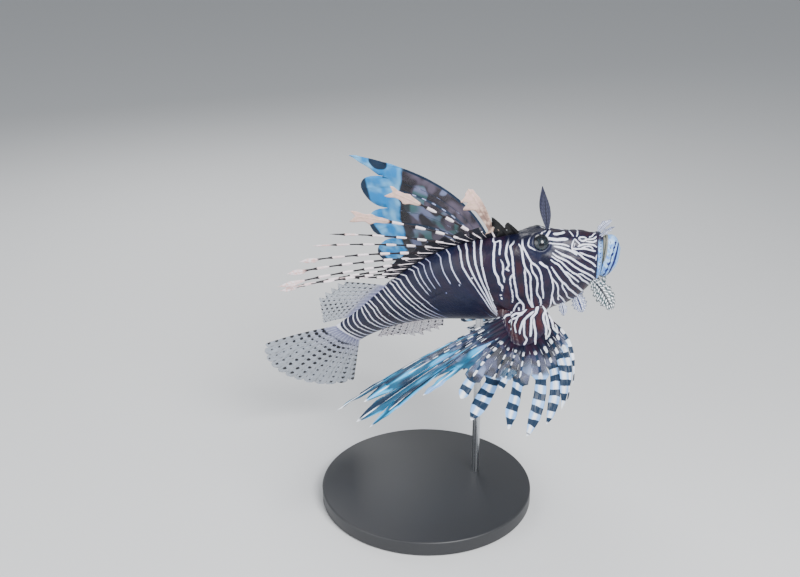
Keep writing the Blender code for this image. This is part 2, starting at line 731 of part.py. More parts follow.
def build_stand():
    """A round foot and an upright steel rod whose end sits in the belly."""
    x, y, z = rod_end()
    cylinder("stand_base", BASE_RADIUS, 0.0, BASE_HEIGHT, 0.0, 0.0, 64, FOOT_CHARCOAL)
    rod = cylinder("stand_rod", ROD_RADIUS, BASE_HEIGHT + GAP, z + ROD_DEPTH, x, y, 16, ROD_STEEL)
    shader = rod.data.materials[0].node_tree.nodes["Principled BSDF"]
    shader.inputs["Metallic"].default_value = 1.0
    shader.inputs["Roughness"].default_value = 0.3


def rod_hole():
    """A cutter for the hole that the rod's end sits in."""
    x, y, z = rod_end()
    low, high = z - 2 * ROD_DEPTH, z + ROD_DEPTH + GAP
    return cylinder("hole", ROD_RADIUS + GAP, low, high, x, y, 16, ROD_STEEL)


def eyes_and_sockets():
    """Both eyes, and cutters for their sockets and the nostrils."""
    cutters = []
    for side, word in ((1, "left"), (-1, "right")):
        s, y, z = EYE_PLACE
        centre = POSE.place(s, y * side, z)
        ball(centre, EYE_RADIUS, "eye_" + word, EYE_SLATE, 0.1)
        cutters.append(ball(centre, EYE_RADIUS + GAP, "socket", EYE_SLATE, 0.5))
        place, _ = on_flank(*NOSTRIL, side)
        cutters.append(ball(place, NOSTRIL_RADIUS, "nostril", EYE_SLATE, 0.5, 2))
    return cutters


def paired_fins(flesh):
    """The pectoral fins on their fleshy lobes, and the pelvic fins."""
    for side, word, fan in ((-1, "right", RIGHT_FAN), (1, "left", LEFT_FAN)):
        rays = fan_rays(side, fan, 0, PECTORAL_RAYS - 1, 0.0)
        comb_fin("pectoral_fin_" + word, rays, PECTORAL_BLUE, 4, 4)
        fleshy_base("pectoral_base_" + word, side, rays, flesh)
        rays = fan_rays(side, PELVIC_FAN, 0, PELVIC_RAYS - 1, PELVIC_FRAME)
        comb_fin("pelvic_fin_" + word, rays, PELVIC_GREY, 4, 2)


def main():
    for obj in list(bpy.data.objects):
        bpy.data.objects.remove(obj)
    head = body_length("head", 0.0, HEAD_END, 16, FLESH)
    trunk = body_length("trunk_front", HEAD_END, TRUNK_SPLIT, 6, DARK_FLESH)
    body_length("trunk_rear", TRUNK_SPLIT, PEDUNCLE_START, 6, DARK_FLESH)
    body_length("tail_peduncle", PEDUNCLE_START, LAST_RING, 6, DARK_FLESH)
    build_jaw()
    cut(head, eyes_and_sockets())
    spiny_dorsal()
    soft_fin("dorsal_fin_soft", *SOFT_DORSAL, SOFT_GREY)
    soft_fin("anal_fin", *ANAL_FIN, ANAL_PINK)
    caudal_fin()
    paired_fins((head, trunk))
    build_flaps()
    build_stand()
    cut(trunk, [rod_hole()])


main()
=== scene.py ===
"""Looks of a life-size red lionfish on its display stand.

The fish is worked out in its own frame, in shares of its standard length: s runs back from
the snout tip, y to the left and z to the back. Pose bends that frame and turns it into the
world, in metres, so that every fine piece lies on the solid that it stands for.
"""

import logging
import math
from dataclasses import dataclass
from enum import Enum

import bpy
import numpy as np
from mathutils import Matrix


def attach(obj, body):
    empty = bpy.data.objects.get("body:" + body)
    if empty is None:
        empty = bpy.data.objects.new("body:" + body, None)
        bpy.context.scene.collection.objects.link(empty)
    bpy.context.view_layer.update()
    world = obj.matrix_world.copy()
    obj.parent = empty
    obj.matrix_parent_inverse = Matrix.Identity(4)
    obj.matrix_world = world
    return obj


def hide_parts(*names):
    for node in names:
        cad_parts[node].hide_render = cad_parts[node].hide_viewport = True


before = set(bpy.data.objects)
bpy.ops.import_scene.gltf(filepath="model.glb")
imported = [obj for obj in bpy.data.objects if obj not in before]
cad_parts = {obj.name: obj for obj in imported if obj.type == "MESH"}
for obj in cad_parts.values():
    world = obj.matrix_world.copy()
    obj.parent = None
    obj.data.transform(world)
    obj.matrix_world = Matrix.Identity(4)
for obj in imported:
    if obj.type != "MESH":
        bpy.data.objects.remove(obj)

Array = np.ndarray
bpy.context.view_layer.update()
LOG = logging.getLogger("lionfish")
BODY = "root"
MM = 1000.0

# Driving dimensions of the solids, in metres, degrees and shares of the standard length
STANDARD_LENGTH = 0.238
LENGTH_MM = STANDARD_LENGTH * MM
GAP = 0.0003
SNOUT_PLACE = (0.128, 0.0, 0.222)
HEAD_PITCH = 23.0
TAIL_SWING = 31.0
TAIL_DROOP = 17.0
TAIL_TWIST = 38.0
SWING_SPAN = (0.19, 0.50)
DROOP_SPAN = (0.42, 1.08)
TWIST_SPAN = (0.05, 0.90)
EYE_RADIUS = 0.0070
EYE_PLACE = (0.175, 0.037, 0.085)
GILL_BULGE = 0.030
HEAD_END = 7.0
LAST_RING = 14.0
SECTION_POWER = 0.86

# Body rings: top s, top z, bottom s, bottom z, half width
RINGS = (
    (-0.012, 0.021, 0.040, -0.100, 0.034),
    (0.022, 0.043, 0.086, -0.124, 0.050),
    (0.060, 0.064, 0.120, -0.140, 0.062),
    (0.110, 0.085, 0.155, -0.148, 0.071),
    (0.165, 0.106, 0.195, -0.150, 0.078),
    (0.230, 0.127, 0.245, -0.147, 0.083),
    (0.300, 0.145, 0.300, -0.140, 0.086),
    (0.370, 0.154, 0.370, -0.130, 0.085),
    (0.460, 0.154, 0.460, -0.116, 0.078),
    (0.560, 0.142, 0.560, -0.102, 0.066),
    (0.660, 0.120, 0.660, -0.087, 0.053),
    (0.760, 0.094, 0.760, -0.074, 0.040),
    (0.860, 0.071, 0.860, -0.062, 0.028),
    (0.940, 0.060, 0.940, -0.055, 0.019),
    (1.000, 0.058, 1.000, -0.054, 0.011),
)
# Rings ahead of the body from the chin back: lower jaw, its lip, and the soft fold of the mouth
MOUTH_RINGS = (
    (-0.0525, -0.026, -0.034, -0.078, 0.013),
    (-0.0515, -0.010, -0.016, -0.098, 0.024),
    (-0.0450, 0.002, 0.014, -0.114, 0.031),
    (-0.0340, 0.008, 0.032, -0.115, 0.033),
    (-0.0245, 0.010, 0.038, -0.104, 0.032),
    (-0.0225, 0.006, 0.037, -0.096, 0.027),
    (-0.0180, 0.010, 0.038, -0.093, 0.027),
)
JAW_POINT = (-0.0515, 0.0, -0.048)


def ease(value: Array | float, start: float, end: float) -> Array:
    """Zero before start, one after end, with a smooth rise between."""
    share = np.clip((np.asarray(value, float) - start) / (end - start), 0, 1)
    return share * share * (3 - 2 * share)


def bell(value: Array, centre: float, spread: float) -> Array:
    """A smooth hump of height one at centre."""
    return np.exp(-(((value - centre) / spread) ** 2))


def unit(vectors: Array) -> Array:
    """Vectors brought to length one."""
    vectors = np.asarray(vectors, float)
    return vectors / (np.linalg.norm(vectors, axis=-1, keepdims=True) + 1e-12)


class Pose:
    """The bent and tilted frame of the fish: a centre line with three axes along it."""

    SAMPLES = 600
    FIRST, LAST = -0.3, 1.6

    def __init__(self) -> None:
        """Works out the centre line by adding up steps along its own direction."""
        self.s = np.linspace(self.FIRST, self.LAST, self.SAMPLES)
        swing = np.radians(TAIL_SWING) * ease(self.s, *SWING_SPAN)
        droop = np.radians(HEAD_PITCH + TAIL_DROOP * ease(self.s, *DROOP_SPAN))
        twist = np.radians(TAIL_TWIST) * ease(self.s, *TWIST_SPAN)
        ahead = np.stack(
            [np.cos(swing) * np.cos(droop), -np.sin(swing) * np.cos(droop), np.sin(droop)], 1
        )
        level = np.stack([np.sin(swing), np.cos(swing), np.zeros_like(swing)], 1)
        upright = np.cross(ahead, level)
        self.back = -ahead
        self.left = np.cos(twist)[:, None] * level + np.sin(twist)[:, None] * upright
        self.up = np.cos(twist)[:, None] * upright - np.sin(twist)[:, None] * level
        step = (self.s[1] - self.s[0]) * STANDARD_LENGTH
        line = np.cumsum(self.back * step, axis=0)
        self.line = line - self._at(line, 0.0) + np.array(SNOUT_PLACE)

    def _at(self, values: Array, s: Array | float) -> Array:
        """Sampled vectors read at s."""
        return np.stack([np.interp(s, self.s, values[:, k]) for k in range(3)], -1)

    def axes(self, s: Array | float) -> tuple[Array, Array, Array]:
        """Unit vectors that point back, left and up at s."""
        return unit(self._at(self.back, s)), unit(self._at(self.left, s)), unit(self._at(self.up, s))

    def place(self, s: Array | float, y: Array | float, z: Array | float) -> Array:
        """World points of the shares s, y and z."""
        s, y, z = np.broadcast_arrays(*(np.asarray(v, float) for v in (s, y, z)))
        _, left, up = self.axes(s)
        offset = left * y[..., None] + up * z[..., None]
        return self._at(self.line, s) + offset * STANDARD_LENGTH


POSE = Pose()


def spline(rows: Array | tuple, at: Array) -> Array:
    """Rows of numbers read at a fractional row number, on a smooth curve through them."""
    rows = np.asarray(rows, float)
    at = np.asarray(at, float)
    low = np.clip(np.floor(at).astype(int), 0, len(rows) - 2)
    share = (at - low)[..., None]
    before = rows[np.clip(low - 1, 0, None)]
    here, after = rows[low], rows[low + 1]
    beyond = rows[np.clip(low + 2, None, len(rows) - 1)]
    slope_here, slope_after = (after - before) / 2, (beyond - here) / 2
    square, cube = share**2, share**3
    return (
        (2 * cube - 3 * square + 1) * here
        + (cube - 2 * square + share) * slope_here
        + (3 * square - 2 * cube) * after
        + (cube - square) * slope_after
    )


def section(rows: Array | tuple, at: Array, turn: Array) -> tuple[Array, Array, Array]:
    """Shares s, y, z on the ring at a row number, at an angle from the back to the left."""
    at, turn = np.broadcast_arrays(np.asarray(at, float), np.asarray(turn, float))
    top_s, top_z, low_s, low_z, half = np.moveaxis(spline(rows, at), -1, 0)
    cos, sin = np.cos(turn), np.sin(turn)
    tall = np.sign(cos) * np.abs(cos) ** SECTION_POWER
    wide = np.sign(sin) * np.abs(sin) ** SECTION_POWER
    s = (top_s + low_s) / 2 + (top_s - low_s) / 2 * tall
    z = (top_z + low_z) / 2 + (top_z - low_z) / 2 * tall
    return s, half * wide, z


def ridge(s: Array | float, side: int) -> Array:
    """Height z of the back (side 1) or the belly (side -1) at s."""
    at = np.linspace(0, LAST_RING, 400)
    top_s, top_z, low_s, low_z, _ = np.moveaxis(spline(RINGS, at), -1, 0)
    return np.interp(s, top_s, top_z) if side > 0 else np.interp(s, low_s, low_z)


def shaped(s: Array, y: Array, z: Array, at: Array) -> tuple[Array, Array, Array]:
    """Head forms on the plain rings: lip, brow, cheek and the swell of the gill cover."""
    side = np.sign(y)
    y = y + side * 0.006 * bell(at, 0.28, 0.22)
    brow = bell(s, 0.165, 0.06) * bell(z, 0.108, 0.022)
    y = y + side * 0.010 * brow
    z = z + 0.008 * brow
    cheek = bell(s, 0.17, 0.07) * bell(z, -0.03, 0.045)
    y = y + side * 0.006 * cheek
    s = s + GILL_BULGE * bell(at, HEAD_END, 1.3) * (1 - np.clip(z / 0.15, -1, 1) ** 2)
    return s, y, z


def bezier(root: Array, bend: Array, tip: Array, u: Array) -> Array:
    """Points of a quadratic curve."""
    u = np.asarray(u)[:, None]
    return (1 - u) ** 2 * root + 2 * u * (1 - u) * bend + u**2 * tip


def on_flank(s: float, z: float, side: int) -> tuple[Array, Array]:
    """Finds a place on the flank.

    Args:
        s: share of the length from the snout.
        z: share of the length above the middle line.
        side: 1 for the left flank and -1 for the right one.

    Returns:
        The world point and its outward normal.
    """
    at, turn = np.meshgrid(np.linspace(0, LAST_RING, 421), np.linspace(0.02, math.pi - 0.02, 160))
    shares = shaped(*section(RINGS, at, turn), at)
    near = np.argmin((shares[0] - s) ** 2 + (shares[2] - z) ** 2)
    row, column = np.unravel_index(near, at.shape)
    patch = [v[max(row - 1, 0) : row + 2, max(column - 1, 0) : column + 2] for v in shares]
    points = POSE.place(patch[0], patch[1] * side, patch[2])
    down, along = points[-1, 0] - points[0, 0], points[0, -1] - points[0, 0]
    normal = unit(np.cross(along, down))
    _, left, _ = POSE.axes(s)
    return points.mean(axis=(0, 1)), normal * np.sign(normal @ left * side)


def ripple(points: Array, size: float, seed: int, waves: int = 7) -> Array:
    """Smooth seeded unevenness about -1 to 1: a sum of sines in random directions."""
    rng = np.random.default_rng(seed)
    ways = unit(rng.normal(size=(waves, points.shape[-1]))) * rng.uniform(0.6, 1.6, (waves, 1))
    phases = rng.uniform(0, 2 * math.pi, waves)
    return np.sin(points @ ways.T * (2 * math.pi / size) + phases).sum(axis=-1) / math.sqrt(waves)


def stroke_distance(spots: Array, strokes: list[tuple[float, Array]]) -> Array:
    """Distance in mm from each spot to the nearest stroke, less the stroke's half width.

    Args:
        spots: places in mm.
        strokes: half width in mm and path in mm of each stroke.

    Returns:
        The distance, below zero inside a stroke and 9 far from all of them.
    """
    best = np.full(len(spots), 9.0)
    for half, path in strokes:
        low, high = path.min(axis=0) - 4, path.max(axis=0) + 4
        near = np.where(((spots > low) & (spots < high)).all(axis=1))[0]
        cloud = spots[near]
        ends = np.linspace(0, 1, len(path))
        taper = half * (0.55 + 0.45 * np.minimum(1, 8 * np.minimum(ends, 1 - ends)))
        for start, end, width in zip(path[:-1], path[1:], taper):
            way = end - start
            share = np.clip((cloud - start) @ way / (way @ way + 1e-9), 0, 1)
            away = np.linalg.norm(cloud - start - share[:, None] * way, axis=1) - width
            best[near] = np.minimum(best[near], away)
    return best


def nearest(points: Array, others: Array) -> Array:
    """Distance from each point to the nearest of the others."""
    middle = others.mean(axis=0)
    a, b = points - middle, others - middle
    square = (a**2).sum(axis=1)[:, None] + (b**2).sum(axis=1)[None] - 2 * a @ b.T
    return np.sqrt(np.maximum(square.min(axis=1), 0))


def fillet(distance: Array, reach: float = 0.009) -> Array:
    """How far a surface is drawn out by a soft join with another one at a distance."""
    return reach / 4 * np.clip(1 - distance / reach, 0, 1) ** 2


def linear(code: str) -> tuple[float, float, float, float]:
    """An sRGB hex colour as linear red, green, blue and one."""
    parts = [int(code[k : k + 2], 16) / 255 for k in (1, 3, 5)]
    made = [v / 12.92 if v <= 0.04045 else ((v + 0.055) / 1.055) ** 2.4 for v in parts]
    return (*made, 1.0)


def build_mesh(
    name: str,
    points: Array,
    faces: Array,
    material: bpy.types.Material,
    values: dict[str, Array] | None = None,
    closed: bool = True,
) -> bpy.types.Object:
    """Makes a smooth object from whole arrays.

    Args:
        name: name of the piece.
        points: places of its vertices, in metres.
        faces: triangles, as rows of vertex numbers.
        material: its finish.
        values: point attributes by name, each one number or three for each vertex.
        closed: whether the mesh is a closed shell, whose faces are then turned outwards.

    Returns:
        The new object, riding on the fish.
    """
    used, index = np.unique(faces, return_inverse=True)
    points, faces = points[used], index.reshape(faces.shape)
    if closed:
        corner = points[faces]
        volume = np.einsum("ij,ij->", corner[:, 0], np.cross(corner[:, 1], corner[:, 2]))
        faces = faces if volume > 0 else faces[:, ::-1]
    mesh = bpy.data.meshes.new(name)
    mesh.vertices.add(len(points))
    mesh.vertices.foreach_set("co", points.astype(np.float32).ravel())
    mesh.loops.add(faces.size)
    mesh.loops.foreach_set("vertex_index", faces.astype(np.int32).ravel())
    mesh.polygons.add(len(faces))
    mesh.polygons.foreach_set("loop_start", np.arange(0, faces.size, 3, dtype=np.int32))
    mesh.update(calc_edges=True)
    mesh.shade_smooth()
    for key, value in (values or {}).items():
        value = np.asarray(value, np.float32)[used]
        kind, slot = ("FLOAT", "value") if value.ndim == 1 else ("FLOAT_VECTOR", "vector")
        mesh.attributes.new(key, kind, "POINT").data.foreach_set(slot, value.ravel())
    mesh.materials.append(material)
    obj = bpy.data.objects.new(name, mesh)
    bpy.context.scene.collection.objects.link(obj)
    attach(obj, BODY)
    LOG.info("%s: %d triangles", name, len(faces))
    return obj


def grid_faces(index: Array, wrap: bool = False) -> Array:
    """Triangles of a grid of vertex numbers, closed across its columns where wrap is set."""
    right = np.roll(index, -1, axis=1) if wrap else index[:, 1:]
    left = index if wrap else index[:, :-1]
    a, b, c, d = left[:-1], right[:-1], right[1:], left[1:]
    return np.concatenate([np.stack([a, b, c], -1).reshape(-1, 3), np.stack([a, c, d], -1).reshape(-1, 3)])


def fan_faces(pole: int, ring: Array) -> Array:
    """Triangles from a pole to a closed ring."""
    return np.stack([np.full(len(ring), pole), np.roll(ring, -1), ring], -1)


def thicken(mid: Array, girth: Array, faces: Array) -> tuple[Array, Array]:
    """A closed shell of a thin sheet.

    Args:
        mid: points of the sheet's middle.
        girth: thickness at each point.
        faces: triangles of the sheet.

    Returns:
        Points, those of the upper face first, and triangles of both faces and the rim.
    """
    corner = mid[faces]
    flat = np.cross(corner[:, 1] - corner[:, 0], corner[:, 2] - corner[:, 0])
    normal = np.zeros_like(mid)
    for column in range(3):
        np.add.at(normal, faces[:, column], flat)
    half = unit(normal) * girth[:, None] / 2
    count = len(mid)
    edges = np.concatenate([faces[:, [0, 1]], faces[:, [1, 2]], faces[:, [2, 0]]])
    codes = edges[:, 0] * count + edges[:, 1]
    back = edges[:, 1] * count + edges[:, 0]
    a, b = edges[~np.isin(back, codes)].T
    rim = np.concatenate([np.stack([b, a, a + count], -1), np.stack([b, a + count, b + count], -1)])
    return np.concatenate([mid + half, mid - half]), np.concatenate([faces, faces[:, ::-1] + count, rim])


def add_node(tree: bpy.types.NodeTree, kind: str, settings: dict | None = None, **links) -> bpy.types.Node:
    """Adds a shader node.

    Args:
        tree: tree of the material.
        kind: node type, such as ShaderNodeMath.
        settings: properties by name, and values of inputs under "in" by their number or name.
        links: sockets or values by input name, with in_0, in_1 and so on for numbered inputs.

    Returns:
        The new node.
    """
    node = tree.nodes.new(kind)
    settings = dict(settings or {})
    inputs = settings.pop("in", {})
    for key, value in settings.items():
        setattr(node, key, value)
    for key, value in inputs.items():
        node.inputs[key].default_value = value
    for key, value in links.items():
        name = int(key[3:]) if key.startswith("in_") else key.replace("_", " ")
        if isinstance(value, bpy.types.NodeSocket):
            tree.links.new(value, node.inputs[name])
        else:
            node.inputs[name].default_value = value
    return node


class Nodes:
    """Short words for the sums that the finishes are made of, on one material's tree."""

    def __init__(self, name: str) -> None:
        """Starts a material with a plain shader."""
        self.material = bpy.data.materials.new(name)
        self.material.use_nodes = True
        self.tree = self.material.node_tree
        self.shader = self.tree.nodes["Principled BSDF"]

    def value(self, name: str, vector: bool = False) -> bpy.types.NodeSocket:
        """The piece's own attribute of that name."""
        node = add_node(self.tree, "ShaderNodeAttribute", {"attribute_name": name})
        return node.outputs["Vector" if vector else "Fac"]

    def sum(self, kind: str, *values) -> bpy.types.NodeSocket:
        """A Math node of the given kind on sockets or numbers."""
        links = {f"in_{k}": v for k, v in enumerate(values)}
        return add_node(self.tree, "ShaderNodeMath", {"operation": kind}, **links).outputs[0]

    def step(self, value, low: float, high: float, a: float = 0.0, b: float = 1.0) -> bpy.types.NodeSocket:
        """A soft step from a at low to b at high."""
        node = add_node(self.tree, "ShaderNodeMapRange", {"interpolation_type": "SMOOTHSTEP"})
        self.tree.links.new(value, node.inputs["Value"])
        for key, number in (("From Min", low), ("From Max", high), ("To Min", a), ("To Max", b)):
            node.inputs[key].default_value = number
        return node.outputs["Result"]

    def mix(self, share, a, b) -> bpy.types.NodeSocket:
        """Colour a with a share of colour b, each a hex code or a socket."""
        node = add_node(self.tree, "ShaderNodeMix", {"data_type": "RGBA"})
        for key, value in ((0, share), (6, a), (7, b)):
            if isinstance(value, bpy.types.NodeSocket):
                self.tree.links.new(value, node.inputs[key])
            else:
                node.inputs[key].default_value = linear(value) if isinstance(value, str) else value
        return node.outputs[2]

    def noise(self, size_mm: float, vector=None, detail: float = 3.0, rough: float = 0.55) -> bpy.types.NodeSocket:
        """Cloudy noise, 0 to 1, of a real size on Object coordinates or on a vector in mm."""
        if vector is None:
            vector, size_mm = self.object_place(), size_mm / MM
        node = add_node(self.tree, "ShaderNodeTexNoise", {"in": {"Scale": 1 / size_mm, "Detail": detail, "Roughness": rough}})
        self.tree.links.new(vector, node.inputs["Vector"])
        return node.outputs["Fac"]

    def object_place(self) -> bpy.types.NodeSocket:
        """Object coordinates, in metres."""
        return add_node(self.tree, "ShaderNodeTexCoord").outputs["Object"]

    def bump(self, height, depth_mm: float, before=None) -> bpy.types.NodeSocket:
        """A normal roughened by a height from 0 to 1 that stands for a depth in mm."""
        node = add_node(self.tree, "ShaderNodeBump", {"in": {"Strength": 1.0, "Distance": depth_mm / MM}})
        self.tree.links.new(height, node.inputs["Height"])
        if before is not None:
            self.tree.links.new(before, node.inputs["Normal"])
        return node.outputs["Normal"]

    def finish(self, colour, roughness=0.5, normal=None, alpha=None, **uniform: float) -> bpy.types.Material:
        """Joins the sums to the shader.

        Args:
            colour: socket or hex code.
            roughness: socket or number.
            normal: socket of the roughened normal.
            alpha: socket of how solid the piece is.
            uniform: plain values of other inputs, with spaces written as underscores.

        Returns:
            The finished material.
        """
        for key, value in (("Base Color", colour), ("Roughness", roughness), ("Normal", normal), ("Alpha", alpha)):
            if isinstance(value, bpy.types.NodeSocket):
                self.tree.links.new(value, self.shader.inputs[key])
            elif value is not None:
                value = linear(value) if isinstance(value, str) else value
                self.shader.inputs[key].default_value = value
        for key, value in uniform.items():
            self.shader.inputs[key.replace("_", " ")].default_value = value
        return self.material


# White head lines drawn on the flank: half width in mm, then places as s in
# thousandths of the length and degrees round from the back
HEAD_LINES = (
    (0.40, (190, 8), (191, 14), (200, 22), (207, 30), (210, 37), (203, 42), (196, 46)),
    (0.60, (222, 3), (220, 14), (222, 24), (226, 34), (224, 45), (222, 56), (219, 64), (209, 71), (206, 80), (211, 89), (218, 97), (222, 106), (227, 113)),
    (0.48, (205, 2), (213, 12), (221, 22)),
    (0.58, (221, 63), (225, 71), (226, 78), (222, 85), (226, 91), (234, 97), (238, 103), (237, 109), (236, 114), (241, 123), (249, 132), (257, 142), (262, 156), (265, 172)),
    (0.58, (235, 29), (232, 37), (234, 46), (237, 53), (240, 61), (241, 69), (237, 77), (238, 84), (246, 91), (251, 98), (257, 107), (262, 116), (264, 126), (263, 133)),
    (0.58, (241, 68), (247, 75), (252, 83), (258, 91), (264, 99), (267, 107), (267, 117), (265, 125)),
    (0.60, (243, 2), (243, 12), (246, 21), (252, 26), (259, 30), (261, 40), (263, 48), (267, 57), (272, 66), (277, 75), (282, 84), (287, 93), (292, 101), (290, 109), (286, 116), (291, 123), (301, 130), (313, 135)),
    (0.64, (255, 2), (257, 11), (262, 20), (268, 28), (273, 36), (278, 45), (279, 54), (280, 61), (288, 65), (285, 69)),
    (0.44, (277, 74), (286, 77), (293, 83), (297, 90), (301, 97), (306, 104), (311, 108)),
    (0.64, (301, 2), (302, 10), (299, 17), (302, 27), (307, 37), (312, 47), (317, 57), (320, 66), (318, 74), (321, 82), (317, 86), (323, 91)),
    (0.58, (298, 16), (290, 14), (283, 13), (284, 20), (287, 29), (292, 38), (294, 42)),
    (0.50, (295, 50), (294, 57), (297, 64), (303, 71), (304, 77), (308, 82)),
    (0.32, (297, 65), (288, 66)),
    (0.48, (288, 112), (297, 112), (308, 116), (317, 122), (323, 129)),
    (0.68, (330, 119), (336, 126), (342, 133), (352, 139), (362, 149)),
    (0.60, (273, 128), (280, 135), (289, 143), (296, 154), (300, 168)),
    (0.56, (300, 118), (304, 124), (312, 129), (318, 133)),
    (0.80, (197, 66), (190, 71), (182, 75)),
    (0.56, (181, 76), (180, 86), (184, 96), (190, 104), (198, 111), (204, 118), (212, 126), (219, 134), (226, 144), (230, 158), (231, 174)),
    (0.48, (179, 90), (173, 97), (174, 104), (179, 111), (182, 119), (187, 126), (186, 130)),
    (0.48, (181, 118), (176, 126), (173, 136), (172, 150), (172, 168)),
    (0.48, (199, 113), (202, 121), (203, 129), (201, 139), (197, 152), (195, 170)),
    (0.64, (169, 76), (165, 84), (160, 91), (154, 98), (148, 104), (144, 113), (138, 121), (133, 131), (129, 142), (125, 155), (123, 172)),
    (0.50, (155, 98), (160, 104), (159, 112), (157, 120), (158, 128), (155, 136), (150, 146), (146, 160)),
    (0.60, (163, 66), (156, 71), (147, 75), (142, 81), (137, 88), (131, 94), (128, 102), (123, 110), (117, 117), (113, 126), (109, 138), (106, 156)),
    (0.50, (136, 86), (127, 90), (119, 96), (112, 103), (108, 109)),
    (0.56, (156, 61), (147, 67), (138, 71), (131, 77), (124, 84), (115, 90), (106, 94), (99, 101), (95, 109), (88, 118), (84, 128), (81, 142), (80, 160)),
    (0.44, (101, 94), (91, 98), (85, 105), (80, 113), (75, 122), (71, 134), (69, 150)),
    (0.60, (150, 56), (143, 62), (135, 66), (127, 69), (118, 73), (111, 78), (103, 84), (94, 89), (85, 94), (77, 100), (71, 107), (65, 117), (61, 129), (58, 145)),
    (0.68, (139, 52), (126, 60), (114, 65), (103, 70), (94, 76), (84, 83), (74, 89), (65, 95), (57, 102), (52, 112)),
    (0.64, (138, 44), (125, 47), (112, 51), (100, 55), (91, 60), (83, 66)),
    (0.56, (91, 55), (82, 61), (74, 67), (68, 74), (60, 80), (52, 86), (45, 93), (42, 100)),
    (0.48, (150, 37), (135, 39), (120, 41), (106, 44), (96, 48)),
    (0.56, (90, 52), (80, 55), (68, 56), (55, 57), (45, 60), (35, 64), (26, 68)),
    (0.48, (72, 63), (62, 68), (52, 73), (42, 78), (35, 84)),
    (1.08, (93, 32), (108, 31), (124, 30), (140, 28), (152, 27)),
    (0.76, (155, 27), (149, 21), (143, 15), (137, 8), (133, 2)),
    (0.48, (163, 16), (158, 10), (151, 5), (145, 1)),
    (1.20, (126, 15), (113, 14), (101, 12), (95, 7)),
    (0.44, (71, 32), (68, 39), (63, 46), (62, 50)),
    (0.44, (72, 32), (79, 39), (85, 46), (90, 52)),
    (0.36, (76, 43), (82, 50)),
    (0.56, (38, 30), (45, 27), (54, 28), (59, 33), (54, 38), (45, 38), (38, 34)),
    (0.48, (6, 22), (13, 30), (24, 34), (38, 34)),
    (0.48, (10, 38), (20, 43), (30, 42), (40, 40)),
    (0.56, (18, 58), (26, 51), (42, 48), (58, 48), (70, 51)),
    (0.40, (30, 62), (34, 55), (44, 53), (60, 54)),
    (0.44, (53, 1), (56, 9), (58, 18), (63, 25)),
    (0.44, (4, 1), (11, 11), (17, 21), (27, 27)),
    (0.36, (78, 2), (75, 12), (72, 24)),
    (0.36, (22, 76), (29, 81), (34, 88)),
    (0.48, (340, 150), (345, 162), (348, 174)),
)
# Pale dots along the side line: s in thousandths, degrees from the back, half width in mm
SIDE_DOTS = (
    (330, 94, 1.15), (331, 98, 1.15), (384, 68.6, 1.0), (428, 75.3, 1.0), (484, 82.5, 1.25),
    (544, 86.7, 1.2), (600, 88, 0.7), (644, 89.0, 1.35), (700, 89, 0.7), (769, 87, 0.8),
)
# White lines on the fleshy lobe of a pectoral fin: half width in mm, then ray number in
# tenths and share of the lobe's depth in hundredths, past 100 on the fin itself
LOBE_LINES = (
    (0.70, (106, 18), (96, 21), (84, 15), (69, 25), (66, 30)),
    (0.60, (96, 24), (87, 24), (78, 36), (74, 45), (73, 57), (73, 65)),
    (0.55, (85, 24), (71, 31), (65, 44), (60, 58), (54, 76)),
    (0.75, (112, 38), (105, 37), (97, 37), (91, 41), (86, 50), (81, 60), (79, 68)),
    (0.70, (95, 38), (91, 49), (88, 63), (86, 75), (87, 87), (80, 98)),
    (0.80, (116, 46), (109, 46), (104, 48), (99, 62), (96, 73), (93, 84)),
    (0.75, (107, 53), (104, 63), (102, 75), (100, 87), (97, 97), (94, 110)),
    (1.00, (128, 21), (123, 28), (120, 38), (115, 43)),
    (0.80, (130, 43), (129, 60), (121, 66), (118, 77), (116, 94), (111, 108), (107, 120)),
    (0.75, (126, 68), (122, 86), (119, 100), (117, 111), (112, 119), (107, 120)),
    (0.85, (130, 76), (130, 87), (127, 100), (123, 114), (123, 132), (123, 144)),
    (0.50, (128, 113), (126, 126), (124, 139)),
    (0.60, (77, 10), (64, 20), (46, 44), (30, 66), (18, 88)),
    (0.50, (63, 28), (54, 47), (45, 67)),
    (0.50, (72, 2), (68, 7)),
)
# Where each thin white line of the trunk crosses the upper flank, in thousandths of the length
TRUNK_LINES = (
    345, 362, 381, 398, 432, 461, 501, 524, 548, 564, 597, 624, 643, 660, 690, 704, 730, 753, 786,
    802, 833, 855, 897, 918, 948, 972, 990,
)
# Sweep of those lines: places of the rows, the degrees of the columns, and how far back each
# line lies there from its place on the upper flank
SWEEP_PLACES = (0.340, 0.400, 0.460, 0.560, 0.610, 0.660, 0.720, 0.800, 0.900, 1.000)
SWEEP_TURNS = (0, 8, 20, 50, 80, 100, 125, 180)
SWEEP = (
    (-0.010, -0.010, -0.008, 0.0, 0.009, 0.014, 0.016, 0.020),
    (0.014, 0.008, 0.000, 0.0, -0.013, -0.022, -0.030, -0.036),
    (0.028, 0.017, 0.004, 0.0, -0.012, -0.028, -0.045, -0.060),
    (0.038, 0.025, 0.009, 0.0, -0.013, -0.030, -0.052, -0.070),
    (0.044, 0.031, 0.013, 0.0, -0.013, -0.029, -0.060, -0.080),
    (0.030, 0.022, 0.012, 0.0, -0.010, -0.020, -0.040, -0.060),
    (0.022, 0.017, 0.011, 0.0, -0.002, -0.004, -0.006, -0.020),
    (0.022, 0.016, 0.008, 0.0, 0.012, 0.013, 0.008, 0.000),
    (-0.020, -0.018, -0.014, 0.0, 0.009, 0.004, 0.000, -0.004),
    (-0.010, -0.008, -0.006, 0.0, 0.004, 0.002, 0.000, 0.000),
)


